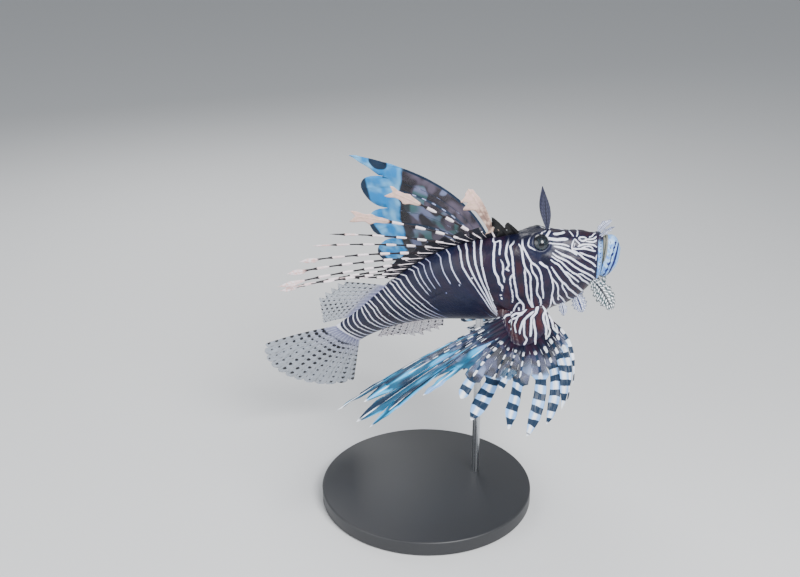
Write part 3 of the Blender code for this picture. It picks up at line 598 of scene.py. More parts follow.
@dataclass(frozen=True)
class FleshFinish:
    """Wet scaled skin: thin pale lines on navy and maroon, under a film of water."""

    white: str = "#eceeff"
    white_dim: str = "#8e95c6"
    navy: str = "#0a0e28"
    navy_light: str = "#131b3c"
    maroon: str = "#2f1420"
    brown: str = "#171022"
    lip: str = "#5c93e2"
    lip_pale: str = "#a9d2f8"
    lip_line: str = "#0d1658"
    fold: str = "#85867c"
    base_maroon: str = "#401620"
    spot: str = "#050822"
    scale_mm: float = 1.7
    roughness: float = 0.36

    def lip_tone(self, n: Nodes, flank):
        """Pale blue lips: two navy lines down the jaw with dots between, and dots on the upper lip."""
        rim, round_it = n.value("rim"), n.value("round")
        dots = n.sum("SINE", n.sum("MULTIPLY", round_it, 0.33))
        wave = n.sum("MULTIPLY", n.sum("SUBTRACT", n.noise(2.2, flank, 1.0), 0.5), 0.8)
        lean = n.sum("ADD", rim, n.sum("MULTIPLY", round_it, 0.0155))
        outer = n.sum("ABSOLUTE", n.sum("MULTIPLY", n.sum("SUBTRACT", lean, 7.06), 3.2))
        middle = n.sum("ABSOLUTE", n.sum("ADD", n.sum("MULTIPLY", n.sum("SUBTRACT", lean, 6.10), 3.2), wave))
        inner = n.sum("ABSOLUTE", n.sum("ADD", n.sum("MULTIPLY", n.sum("SUBTRACT", rim, 4.15), 3.2), wave))
        outer = n.sum("SUBTRACT", outer, 0.85)
        middle = n.sum("SUBTRACT", middle, n.sum("ADD", 0.42, n.sum("MULTIPLY", n.sum("MAXIMUM", dots, 0.0), 0.55)))
        inner = n.sum("SUBTRACT", inner, n.sum("MULTIPLY", dots, 0.28))
        jaw = n.sum("MINIMUM", outer, n.sum("MINIMUM", middle, inner))
        jaw = n.sum("ADD", jaw, n.sum("ADD", n.step(rim, 2.4, 2.8, 9.0, 0.0), n.step(round_it, 16.0, 34.0, 3.0, 0.0)))
        down = n.sum("MULTIPLY", dots, 1.3)
        side = n.sum("MULTIPLY", n.sum("ADD", rim, 0.24), 7.6)
        upper = n.sum("SQRT", n.sum("ADD", n.sum("MULTIPLY", down, down), n.sum("MULTIPLY", side, side)))
        upper = n.sum("ADD", n.sum("SUBTRACT", upper, 0.56), n.step(rim, -0.02, 0.02, 0.0, 9.0))
        line = n.sum("MINIMUM", jaw, upper)
        tone = n.mix(n.step(n.noise(3.0, flank), 0.40, 0.62), self.lip, self.lip_pale)
        return n.mix(n.step(line, -0.12, 0.16, 1.0, 0.0), tone, self.lip_line)

    def material(self) -> bpy.types.Material:
        """The skin finish, which reads the piece's own line distances and tones."""
        n = Nodes("wet_scaled_skin")
        flank = n.value("flank", vector=True)
        wobble = n.sum("MULTIPLY", n.sum("SUBTRACT", n.noise(2.4, flank, 2.0), 0.5), 0.55)
        head = n.sum("ADD", n.value("ink"), wobble)
        phase, spacing, half = n.value("phase"), n.value("spacing"), n.value("half")
        away = n.sum("ABSOLUTE", n.sum("SUBTRACT", phase, n.sum("ROUND", phase)))
        trunk = n.sum("SUBTRACT", n.sum("MULTIPLY", away, spacing), half)
        trunk = n.sum("ADD", trunk, n.sum("MULTIPLY", wobble, 0.6))
        edge = n.sum("MINIMUM", head, trunk)
        line = n.step(edge, -0.16, 0.20, 1.0, 0.0)
        deep = n.step(edge, 0.25, 1.7)
        cloud = n.noise(9.0, flank)
        navy = n.mix(cloud, self.navy, self.navy_light)
        warm = n.mix(n.step(cloud, 0.35, 0.65), self.brown, self.maroon)
        warmth = n.sum("MULTIPLY", deep, n.value("warmth"))
        ground = n.mix(warmth, navy, warm)
        white = n.mix(n.value("dim"), self.white, self.white_dim)
        maroon = n.mix(n.step(n.noise(5.0, flank), 0.3, 0.7), self.maroon, self.base_maroon)
        ground = n.mix(n.sum("MULTIPLY", n.value("lobe"), deep), ground, maroon)
        colour = n.mix(line, ground, white)
        # The blue mask paints the dark cheek spot and the dark crest, whose dark is partly painted shade
        colour = n.mix(n.value("blue"), colour, self.spot)
        colour = n.mix(n.value("lip"), colour, self.lip_tone(n, flank))
        colour = n.mix(n.value("fold"), colour, self.fold)
        colour = n.mix(n.value("nostril"), colour, self.navy)
        grain = n.sum("MULTIPLY", n.step(n.noise(0.7, flank, 2.0), 0.3, 0.8), 0.25)
        colour = n.mix(grain, colour, n.mix(0.35, colour, self.navy))
        scales = add_node(n.tree, "ShaderNodeTexVoronoi", {"feature": "SMOOTH_F1"})
        scales.inputs["Scale"].default_value = 1 / self.scale_mm
        scales.inputs["Smoothness"].default_value = 0.25
        n.tree.links.new(flank, scales.inputs["Vector"])
        relief = n.bump(n.sum("SUBTRACT", 1.0, scales.outputs["Distance"]), 0.16)
        relief = n.bump(n.noise(0.9, flank, 4.0), 0.10, relief)
        gloss = n.sum("ADD", self.roughness, n.sum("MULTIPLY", cloud, 0.14))
        return n.finish(
            colour, gloss, relief, IOR=1.36, Coat_Weight=0.22, Coat_Roughness=0.20, Coat_IOR=1.33,
            Subsurface_Weight=0.06, Subsurface_Scale=0.002,
        )


@dataclass
class Skin:
    """One skin from the chin to the root of the tail fin, with the fleshy fin bases."""

    columns: int = 240
    mouth_rows: int = 64
    head_rows: int = 178
    trunk_rows: int = 104
    finish: FleshFinish = FleshFinish()

    def rows(self) -> Array:
        """Ring numbers of the grid's rows, closest together on the head."""
        front = -float(len(MOUTH_RINGS))
        mouth = np.linspace(front, 0.0, self.mouth_rows, endpoint=False)
        head = np.linspace(0.0, HEAD_END, self.head_rows, endpoint=False)
        return np.concatenate([mouth, head, np.linspace(HEAD_END, LAST_RING, self.trunk_rows)])

    def shares(self, at: Array, turn: Array) -> tuple[Array, Array, Array]:
        """Places in the fish's frame of a grid of ring numbers and angles."""
        rings = np.concatenate([MOUTH_RINGS, RINGS])
        return shaped(*section(rings, at + len(MOUTH_RINGS), turn), at)

    def strokes(self) -> list[tuple[float, Array]]:
        """The drawn lines of the head and side as half widths and paths on the unbent flank, in mm."""
        ring = np.linspace(0, LAST_RING, 900)
        made = []
        marks = [(half, np.array(places, float)) for half, *places in HEAD_LINES]
        marks += [(half, np.array([[s, t], [s, t + 0.5]])) for s, t, half in SIDE_DOTS]
        for half, places in marks:
            if len(places) > 2:
                places = spline(places, np.linspace(0, len(places) - 1, 3 * len(places)))
            path = []
            for place, angle in zip(places[:, 0] / 1000, np.radians(places[:, 1])):
                shares = self.shares(ring, np.full_like(ring, angle))
                found = np.interp(place, shares[0], ring)
                path.append([np.interp(found, ring, v) * LENGTH_MM for v in shares])
            made.append((half, np.array(path)))
        return made

    def trunk_phase(self, s: Array, turn: Array) -> tuple[Array, Array]:
        """Number of the trunk line at each place, counted along the body, and lines' spacing in mm.

        Each line starts from its place on the upper flank and is swept back or forward by the
        table above, and between two lines the number runs evenly.
        """
        degrees = np.degrees(np.abs(turn[0]))
        start = np.array(TRUNK_LINES) / 1000
        phase, spacing = np.empty_like(s), np.empty_like(s)
        for column, angle in enumerate(degrees):
            sweep = [np.interp(angle, SWEEP_TURNS, row) for row in SWEEP]
            lines = start + np.interp(start, SWEEP_PLACES, sweep)
            numbers = np.arange(len(lines)) + 1.0
            phase[:, column] = np.interp(s[:, column], lines, numbers)
            gap = np.gradient(lines) * LENGTH_MM
            spacing[:, column] = np.interp(s[:, column], lines, gap)
            before = s[:, column] < lines[0]
            phase[before, column] = 1 - (lines[0] - s[before, column]) * LENGTH_MM / gap[0]
        return np.maximum(phase, 0.5), spacing

    def relief(self, s: Array, z: Array, at: Array, turn: Array, spots: Array) -> Array:
        """Raised and sunk forms in metres: eye rim, gill cover, cheek ridges and side line."""
        degrees = np.degrees(np.abs(turn))
        eye = np.linalg.norm(spots - np.array(EYE_PLACE) * LENGTH_MM, axis=-1)
        height = 0.0007 * bell(eye, 7.7, 0.9) - 0.0010 * (1 - ease(eye, 6.1, 6.9))
        edge = 0.352 - 0.060 * ((degrees - 78) / 62) ** 2
        behind = (s - edge) * STANDARD_LENGTH
        cover = np.where(behind < 0, np.exp(behind / 0.006), np.exp(-behind / 0.0006))
        height += 0.0009 * cover * ease(degrees, 22, 45) * (1 - ease(degrees, 118, 140))
        front = 0.235 - 0.030 * ((degrees - 95) / 40) ** 2
        cheek = bell((s - front) * STANDARD_LENGTH, 0, 0.0016) * ease(degrees, 62, 80)
        height += 0.0006 * cheek * (1 - ease(degrees, 125, 145)) * (0.7 + 0.3 * np.sin(degrees * 0.9))
        bony = bell(s, 0.165, 0.050) * bell(degrees, 16, 6) * ease(eye, 8.2, 10.5)
        height += 0.0005 * bony * (0.5 + 0.5 * np.sin(s * 260))
        stay = bell(degrees - 62 - (0.17 - s) * 160, 0, 5)
        height += 0.0006 * stay * ease(s, 0.05, 0.09) * (1 - ease(s, 0.15, 0.17))
        line = degrees - np.interp(s, (0.33, 0.39, 0.49, 0.60, 0.80, 1.0), (60, 69, 82, 88, 88, 88))
        height -= 0.00022 * bell(line, 0, 1.6) * ease(s, 0.36, 0.40)
        height += 0.00022 * ripple(spots, 11.0, 5) * ease(at, 0.2, 1.0) * (1 - ease(s, 0.36, 0.5))
        nose = np.hypot(s - 0.062, z - 0.046) * STANDARD_LENGTH
        height += 0.0005 * bell(nose, 0.0013, 0.0005) - 0.0010 * bell(nose, 0, 0.0007)
        lip = bell(at, 0.30, 0.22) + bell(at, -2.9, 0.35)
        height += 0.0005 * lip * (1 + 0.25 * np.sin(degrees * 1.3))
        return height

    def lobe(self, lobe: "Lobe", body: Array) -> tuple[Array, Array, dict[str, Array]]:
        """Points, triangles and marking values of one fleshy lobe, drawn out where it meets the body."""
        number = np.linspace(0, PECTORAL_RAYS - 1, 105)
        depth = np.linspace(0, 1.02, 40)[:, None]
        middle = lobe.middle(number[None], depth)
        ahead = unit(middle[-1] - middle[0])
        normal = unit(np.cross(unit(np.gradient(middle[-1], axis=0)), ahead))
        lens = np.sqrt(1.04 - np.linspace(-1, 1, len(number)) ** 2) ** 0.7
        half = 0.0052 * (1 - np.minimum(depth, 1)) ** 1.1 + 0.0009 + 0.0006 * np.sin(math.pi * depth)
        ridges = 0.00022 * np.cos(2 * math.pi * number)[None] * depth**2
        soft = fillet(nearest(middle.reshape(-1, 3), body)).reshape(middle.shape[:2])
        reach = ((half + ridges) * lens + soft * (1 - np.minimum(depth, 1)))[..., None]
        rings = np.concatenate([middle + normal * reach, (middle - normal * reach)[:, ::-1]], axis=1)
        count = rings.shape[0] * rings.shape[1]
        index = np.arange(count).reshape(rings.shape[:2])
        points = rings.reshape(-1, 3)
        ends = [grid_faces(np.stack([row[: len(number)], row[len(number) :][::-1]])) for row in index[[0, -1]]]
        faces = [grid_faces(index, True), ends[0][:, ::-1], ends[1]]
        both = np.concatenate([middle, middle[:, ::-1]], axis=1).reshape(-1, 3) * MM
        ink = stroke_distance(both, lobe.strokes())
        size = len(points)
        values = {key: np.full(size, number) for key, number in self.PLAIN.items()}
        down = np.broadcast_to(depth, index.shape).ravel()
        warm = 1 - 0.85 * ease(down, 0.72, 1.0)
        values |= {"ink": ink, "flank": points * MM, "lobe": warm, "warmth": 0.15 + 0.85 * warm}
        return points, np.concatenate(faces), values

    # Marking values of flesh that has no trunk lines, lip, spot or nostril
    PLAIN = {
        "phase": 0.5, "spacing": 9.0, "half": -9.0, "dim": 0.0, "lip": 0.0, "fold": 0.0,
        "rim": 0.0, "round": 90.0, "nostril": 0.0, "blue": 0.0,
    }

    def body_values(self, s: Array, y: Array, z: Array, at: Array, turn: Array, world: Array) -> dict[str, Array]:
        """Marking values of the body's grid: line distances, tones and masks."""
        degrees = np.degrees(np.abs(turn))
        spots = np.stack([s, np.abs(y), z], -1) * LENGTH_MM
        ink = stroke_distance(spots.reshape(-1, 3), self.strokes()).reshape(at.shape)
        ink = ink + 4 * (1 - ease(at, 0.46, 0.52))
        eye = np.linalg.norm(spots - np.array(EYE_PLACE) * LENGTH_MM, axis=-1)
        phase, spacing = self.trunk_phase(s, turn)
        faint = bell(s, 0.475, 0.085) * ease(degrees, 62, 84)
        thin = bell(s, 0.50, 0.075)
        half = 0.60 - 0.24 * thin + 0.10 * ease(s, 0.74, 0.85)
        half = half * (1 - ease(faint, 0.15, 0.6)) - 0.6 * ease(faint, 0.2, 0.7)
        half = np.where((phase < 0.75) | (s < 0.33), -4.0, half)
        dim = 0.75 * thin + 0.6 * faint + 0.5 * ease(degrees, 85, 125) * ease(s, 0.36, 0.45)
        warmth = 0.70 - 0.65 * ease(s, 0.34, 0.48) + 0.15 * ease(s, 0.74, 0.80) * bell(degrees, 100, 40)
        warmth = warmth - 0.8 * (1 - ease(eye, 8.5, 14.0)) - 0.5 * (1 - ease(at, 0.5, 1.0))
        upper = (1 - ease(at, 0.40, 0.46)) * ease(degrees, 30, 60)
        rim = 2.15 + 1.15 * (1 - ease(degrees, 80, 118))
        lip = np.where(at >= 0, upper, ease(-at - rim, 0.0, 0.3))
        fold = ease(-at, 0.10, 0.35) * (1 - ease(-at - rim, 0.0, 0.3))
        # The crest behind the eyes is painted near black: the dark skin of the nape with painted shade of the nape
        # spines laid over it
        crest_dark_and_shade = ease(s, 0.155, 0.178) * (1 - ease(s, 0.255, 0.280)) * (1 - ease(degrees, 16, 30))
        nose = np.hypot(s - 0.062, z - 0.046) * LENGTH_MM
        spot = np.hypot((s - 0.177) * LENGTH_MM, (degrees - 64) * 0.30)
        arc = np.cumsum(np.linalg.norm(np.diff(world, axis=1, prepend=world[:, :1]), axis=-1), axis=1) * MM
        return {
            "ink": ink, "phase": phase, "spacing": spacing, "half": half, "dim": np.clip(dim, 0, 1),
            "warmth": np.clip(warmth + 0.25 * ripple(spots, 40.0, 3), 0, 1), "lip": lip, "fold": fold,
            "rim": -at, "round": degrees, "nostril": bell(nose, 0, 0.8),
            "blue": np.maximum(1 - ease(spot, 2.2, 3.4), crest_dark_and_shade), "lobe": ease(degrees, 112, 128) * bell(s, 0.27, 0.07),
            "flank": np.stack([s * LENGTH_MM, arc, np.sign(y) * 40.0], -1),
        }

    def build(self) -> bpy.types.Object:
        """Builds the skin as one piece and gives it its line, tone and place values."""
        turn = np.linspace(0, 2 * math.pi, self.columns, endpoint=False)
        at, turn = np.meshgrid(self.rows(), turn, indexing="ij")
        turn = np.where(turn > math.pi, turn - 2 * math.pi, turn)
        s, y, z = self.shares(at, turn)
        spots = np.stack([s, np.abs(y), z], -1) * LENGTH_MM
        world = POSE.place(s, y, z)
        across = np.roll(world, -1, axis=1) - np.roll(world, 1, axis=1)
        normal = unit(np.cross(across, np.gradient(world, axis=0)))
        centre = world.mean(axis=1, keepdims=True)
        normal *= np.sign(((world - centre) * normal).sum(axis=-1, keepdims=True).mean())
        world = world + normal * self.relief(s, z, at, turn, spots)[..., None]
        lobes = [Lobe(-1, RIGHT_FAN), Lobe(1, LEFT_FAN)]
        flesh = world.reshape(-1, 3)
        for lobe in lobes:
            arm = lobe.middle(np.linspace(0, 13, 53)[None], np.linspace(0, 1, 21)[:, None]).reshape(-1, 3)
            close = ((flesh > arm.min(axis=0) - 0.01) & (flesh < arm.max(axis=0) + 0.01)).all(axis=1)
            away = np.clip(nearest(flesh[close], arm) - 0.004, 0, None)
            flesh[close] += normal.reshape(-1, 3)[close] * fillet(away)[:, None]
        count = at.size
        index = np.arange(count).reshape(at.shape)
        points = np.concatenate([flesh, [POSE.place(*JAW_POINT), world[-1].mean(axis=0)]])
        faces = [grid_faces(index, True), fan_faces(count, index[0]), fan_faces(count + 1, index[-1])[:, ::-1]]
        values = self.body_values(s, y, z, at, turn, world)
        values = {k: v.reshape(count, *v.shape[2:]) for k, v in values.items()}
        values = {k: np.concatenate([v, v[:1], v[-1:]]) for k, v in values.items()}
        body = flesh[at.ravel() > 2]
        for lobe in lobes:
            near = body[np.linalg.norm(body - lobe.rays.root.mean(axis=0), axis=1) < 0.06]
            more, sides, marks = self.lobe(lobe, near)
            faces.append(sides + len(points))
            points = np.concatenate([points, more])
            values = {k: np.concatenate([v, marks[k]]) for k, v in values.items()}
        obj = build_mesh("skin", points, np.concatenate(faces), self.finish.material(), values)
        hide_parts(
            "head", "lower_jaw", "trunk_front", "trunk_rear", "tail_peduncle",
            "pectoral_base_left", "pectoral_base_right",
        )
        return obj


@dataclass
class Rays:
    """The rays of one fin, as arrays with a row for each ray."""

    root: Array
    bend: Array
    tip: Array
    notch: Array
    width: Array


PECTORAL_RAYS = 14
PELVIC_RAYS = 6
CAUDAL_RAYS = 12
CAUDAL_LENGTH = 0.292
CAUDAL_SPREAD = 41.0
CAUDAL_BEND = (-0.274, 0.080)
CAUDAL_TILT = -0.303
BASE_PLACE = (0.320, 0.045, -0.065)
PELVIC_FRAME = 0.42

# Ray number, root s y z, bend back out up, tip back out up, notch, half width
RIGHT_FAN = (
    (0, 0.348, 0.110, -0.078, 0.255, 0.170, 0.060, 0.540, 0.255, 0.025, 0.86, 0.008),
    (1, 0.348, 0.113, -0.085, 0.235, 0.170, 0.045, 0.455, 0.260, 0.030, 0.82, 0.012),
    (2, 0.348, 0.117, -0.094, 0.245, 0.170, 0.025, 0.500, 0.265, -0.010, 0.84, 0.014),
    (3, 0.347, 0.121, -0.107, 0.245, 0.170, 0.025, 0.470, 0.270, -0.025, 0.78, 0.013),
    (4, 0.347, 0.125, -0.123, 0.155, 0.175, 0.030, 0.280, 0.270, 0.030, 0.55, 0.020),
    (5, 0.347, 0.129, -0.140, 0.100, 0.175, 0.040, 0.180, 0.270, -0.005, 0.72, 0.018),
    (6, 0.346, 0.132, -0.159, 0.055, 0.175, 0.005, 0.180, 0.270, -0.065, 0.52, 0.026),
    (7, 0.336, 0.133, -0.176, 0.020, 0.175, 0.025, 0.075, 0.260, 0.015, 0.80, 0.012),
    (8, 0.319, 0.133, -0.185, 0.035, 0.175, -0.010, 0.125, 0.250, -0.120, 0.46, 0.025),
    (9, 0.301, 0.132, -0.185, -0.030, 0.175, -0.060, 0.105, 0.238, -0.170, 0.38, 0.021),
    (10, 0.279, 0.127, -0.179, -0.055, 0.165, -0.065, 0.065, 0.215, -0.175, 0.34, 0.018),
    (11, 0.259, 0.122, -0.170, -0.055, 0.152, -0.050, 0.030, 0.190, -0.170, 0.32, 0.015),
    (12, 0.240, 0.116, -0.160, -0.055, 0.130, -0.050, 0.030, 0.160, -0.180, 0.32, 0.011),
    (13, 0.224, 0.110, -0.151, -0.055, 0.110, -0.040, 0.015, 0.127, -0.165, 0.32, 0.010),
)
LEFT_FAN = (
    (0, 0.374, 0.110, -0.020, -0.050, 0.250, 0.225, 0.350, 0.350, 0.455, 0.87, 0.030),
    (1, 0.375, 0.115, -0.036, 0.065, 0.250, 0.265, 0.365, 0.370, 0.340, 0.87, 0.034),
    (2, 0.374, 0.120, -0.056, 0.130, 0.250, 0.225, 0.400, 0.400, 0.180, 0.86, 0.030),
    (3, 0.373, 0.124, -0.079, 0.170, 0.250, 0.175, 0.425, 0.430, 0.090, 0.82, 0.026),
    (6, 0.356, 0.134, -0.160, 0.160, 0.250, -0.020, 0.360, 0.400, -0.060, 0.60, 0.018),
    (9, 0.305, 0.132, -0.180, 0.080, 0.200, -0.080, 0.220, 0.320, -0.170, 0.45, 0.014),
    (13, 0.228, 0.110, -0.150, -0.020, 0.120, -0.080, 0.040, 0.160, -0.160, 0.35, 0.010),
)
PELVIC_FAN = (
    (0, 0.355, 0.030, -0.146, 0.11, 0.045, -0.070, 0.22, 0.060, -0.11, 0.88, 0.008),
    (5, 0.400, 0.018, -0.142, 0.09, 0.018, -0.026, 0.16, 0.025, -0.04, 0.90, 0.008),
)
# Dashes of the dorsal spines in mm: length of a pair at the root, growth along the spine and
# how far they are shifted from one spine to the next
SPINE_BAND = 11.0
SPINE_STRETCH = 0.055
SPINE_SHIFT = 3.0
SPINE_TURN = 3.7
# Dorsal spines: place along the back, sweep back, length, lean to the left
SPINES = (
    (0.232, 18.0, 0.050, 0.0),
    (0.262, 16.0, 0.078, 0.0),
    (0.298, 3.0, 0.192, -6.0),
    (0.335, 34.0, 0.325, -9.0),
    (0.372, 52.0, 0.370, -9.0),
    (0.412, 59.0, 0.410, -14.0),
    (0.452, 65.4, 0.440, -12.0),
    (0.492, 69.0, 0.460, -14.0),
    (0.530, 72.3, 0.485, -12.0),
    (0.566, 73.0, 0.490, -13.5),
    (0.600, 72.6, 0.460, -12.0),
    (0.632, 66.0, 0.380, -13.0),
    (0.662, 56.5, 0.220, -12.0),
)


def fan_rays(side: int, keys: tuple, count: int, frame_at: float) -> Rays:
    """Rays of a paired fin, side 1 for the left, in the axes at s = frame_at."""
    keys = np.asarray(keys, float)
    at = np.interp(np.arange(count), keys[:, 0], np.arange(len(keys)))
    values = spline(keys[:, 1:], at)
    root = POSE.place(values[:, 0], values[:, 1] * side, values[:, 2])
    back, left, up = POSE.axes(frame_at)
    axes = np.stack([back, left * side, up]) * STANDARD_LENGTH
    return Rays(root, root + values[:, 3:6] @ axes, root + values[:, 6:9] @ axes, values[:, 9], values[:, 10] * STANDARD_LENGTH)


@dataclass
class Lobe:
    """The fleshy arm that carries a pectoral fin, side 1 for the left, from flank to ray roots."""

    side: int
    keys: tuple
    shrink: float = 0.75
    past_root: float = 0.35

    def __post_init__(self) -> None:
        """Works out the rays that the arm ends in."""
        self.rays = fan_rays(self.side, self.keys, PECTORAL_RAYS, 0.0)

    def middle(self, number: Array, depth: Array) -> Array:
        """Points of the arm's middle at ray numbers and shares of depth, past 1 along the rays."""
        number, depth = np.broadcast_arrays(np.asarray(number, float), np.asarray(depth, float))
        root, bend, tip = (spline(v, number) for v in (self.rays.root, self.rays.bend, self.rays.tip))
        s, y, z = BASE_PLACE
        inner = POSE.place(s, y * self.side, z) + (root - self.rays.root.mean(axis=0)) * self.shrink
        u = (np.clip(depth - 1, 0, None) * self.past_root)[..., None]
        inside = inner + (root - inner) * np.minimum(depth, 1)[..., None]
        return inside + 2 * u * (1 - u) * (bend - root) + u**2 * (tip - root)

    def strokes(self) -> list[tuple[float, Array]]:
        """The white lines of the arm, as half widths and paths in mm."""
        made = []
        for half, *places in LOBE_LINES:
            places = np.array(places, float) / (10, 100)
            places = spline(places, np.linspace(0, len(places) - 1, 5 * len(places)))
            made.append((half, self.middle(places[:, 0], places[:, 1]) * MM))
        return made


def median_rays(s: Array, side: int, sweep: Array, length: Array, lean: Array, curl: float, notch: float, width: float) -> Rays:
    """Rays of a fin on the back or belly: sweep is each one's angle back from square."""
    back, left, up = POSE.axes(s)
    up = up * side
    base = POSE.place(s, 0.0, ridge(s, side)) + up * GAP
    angle, tilt = np.radians(sweep)[:, None], np.radians(lean)[:, None]
    way = np.cos(tilt) * (np.cos(angle) * up + np.sin(angle) * back) + np.sin(tilt) * left
    length = (length * STANDARD_LENGTH)[:, None]
    crook = np.cos(angle) * back - np.sin(angle) * up
    bend = base + way * length * 0.5 - crook * curl * length
    ones = np.ones(len(s))
    return Rays(base, bend, base + way * length, ones * notch, ones * width)


def caudal_rays() -> Rays:
    """Rays of the rounded tail fin, a fan from the end of the tail."""
    back, left, up = POSE.axes(1.0)
    away = unit(back + CAUDAL_BEND[0] * left + CAUDAL_BEND[1] * up)
    rise = up + CAUDAL_TILT * left
    rise = unit(rise - away * (rise @ away))
    share = 1 - 2 * np.arange(CAUDAL_RAYS) / (CAUDAL_RAYS - 1)
    base = POSE.place(1.0, 0.0, 0.003 + 0.052 * share) + back * (GAP + 0.0002)
    angle = (math.radians(CAUDAL_SPREAD) * share)[:, None]
    length = (CAUDAL_LENGTH * (1 - 0.12 * np.abs(share) ** 3) * STANDARD_LENGTH)[:, None]
    way = np.cos(angle) * away + np.sin(angle) * rise
    ones = np.ones(CAUDAL_RAYS)
    return Rays(base, base + way * length * 0.5 + left * 0.003, base + way * length, ones * 0.95, ones * 0.0022)


class Margin(Enum):
    """How the web leaves a ray and how the ray's free end closes."""

    BLADE = "narrow blade with a rounded end"
    POINTED = "web drawn out to a point"
    LOBED = "web drawn out to a rounded lobe"


@dataclass
class FinShape:
    """Sizes of one fin's sheet and rays, in metres, and of its grid.

    Blades are the free ends past the notches. They start as wide as the sheet there and come
    down to their own width over the share called blend. Fork is how far each blade's corners
    run on past its middle.
    """

    held_rows: int = 44
    free_rows: int = 30
    ray_radius: float = 0.00055
    membrane: float = 0.00022
    dip: float = 0.05
    sag: float = 0.0
    root_sink: float = 0.0012
    blade_peak: float = 0.7
    blend: float = 0.10
    ruffle: float = 0.0
    margin: Margin = Margin.BLADE
    pointed: tuple[int, ...] = ()


@dataclass
class Blades:
    """Half widths of free blades ahead of and behind each ray, as tables along the blade."""

    ahead: Array
    behind: Array
    fork: Array


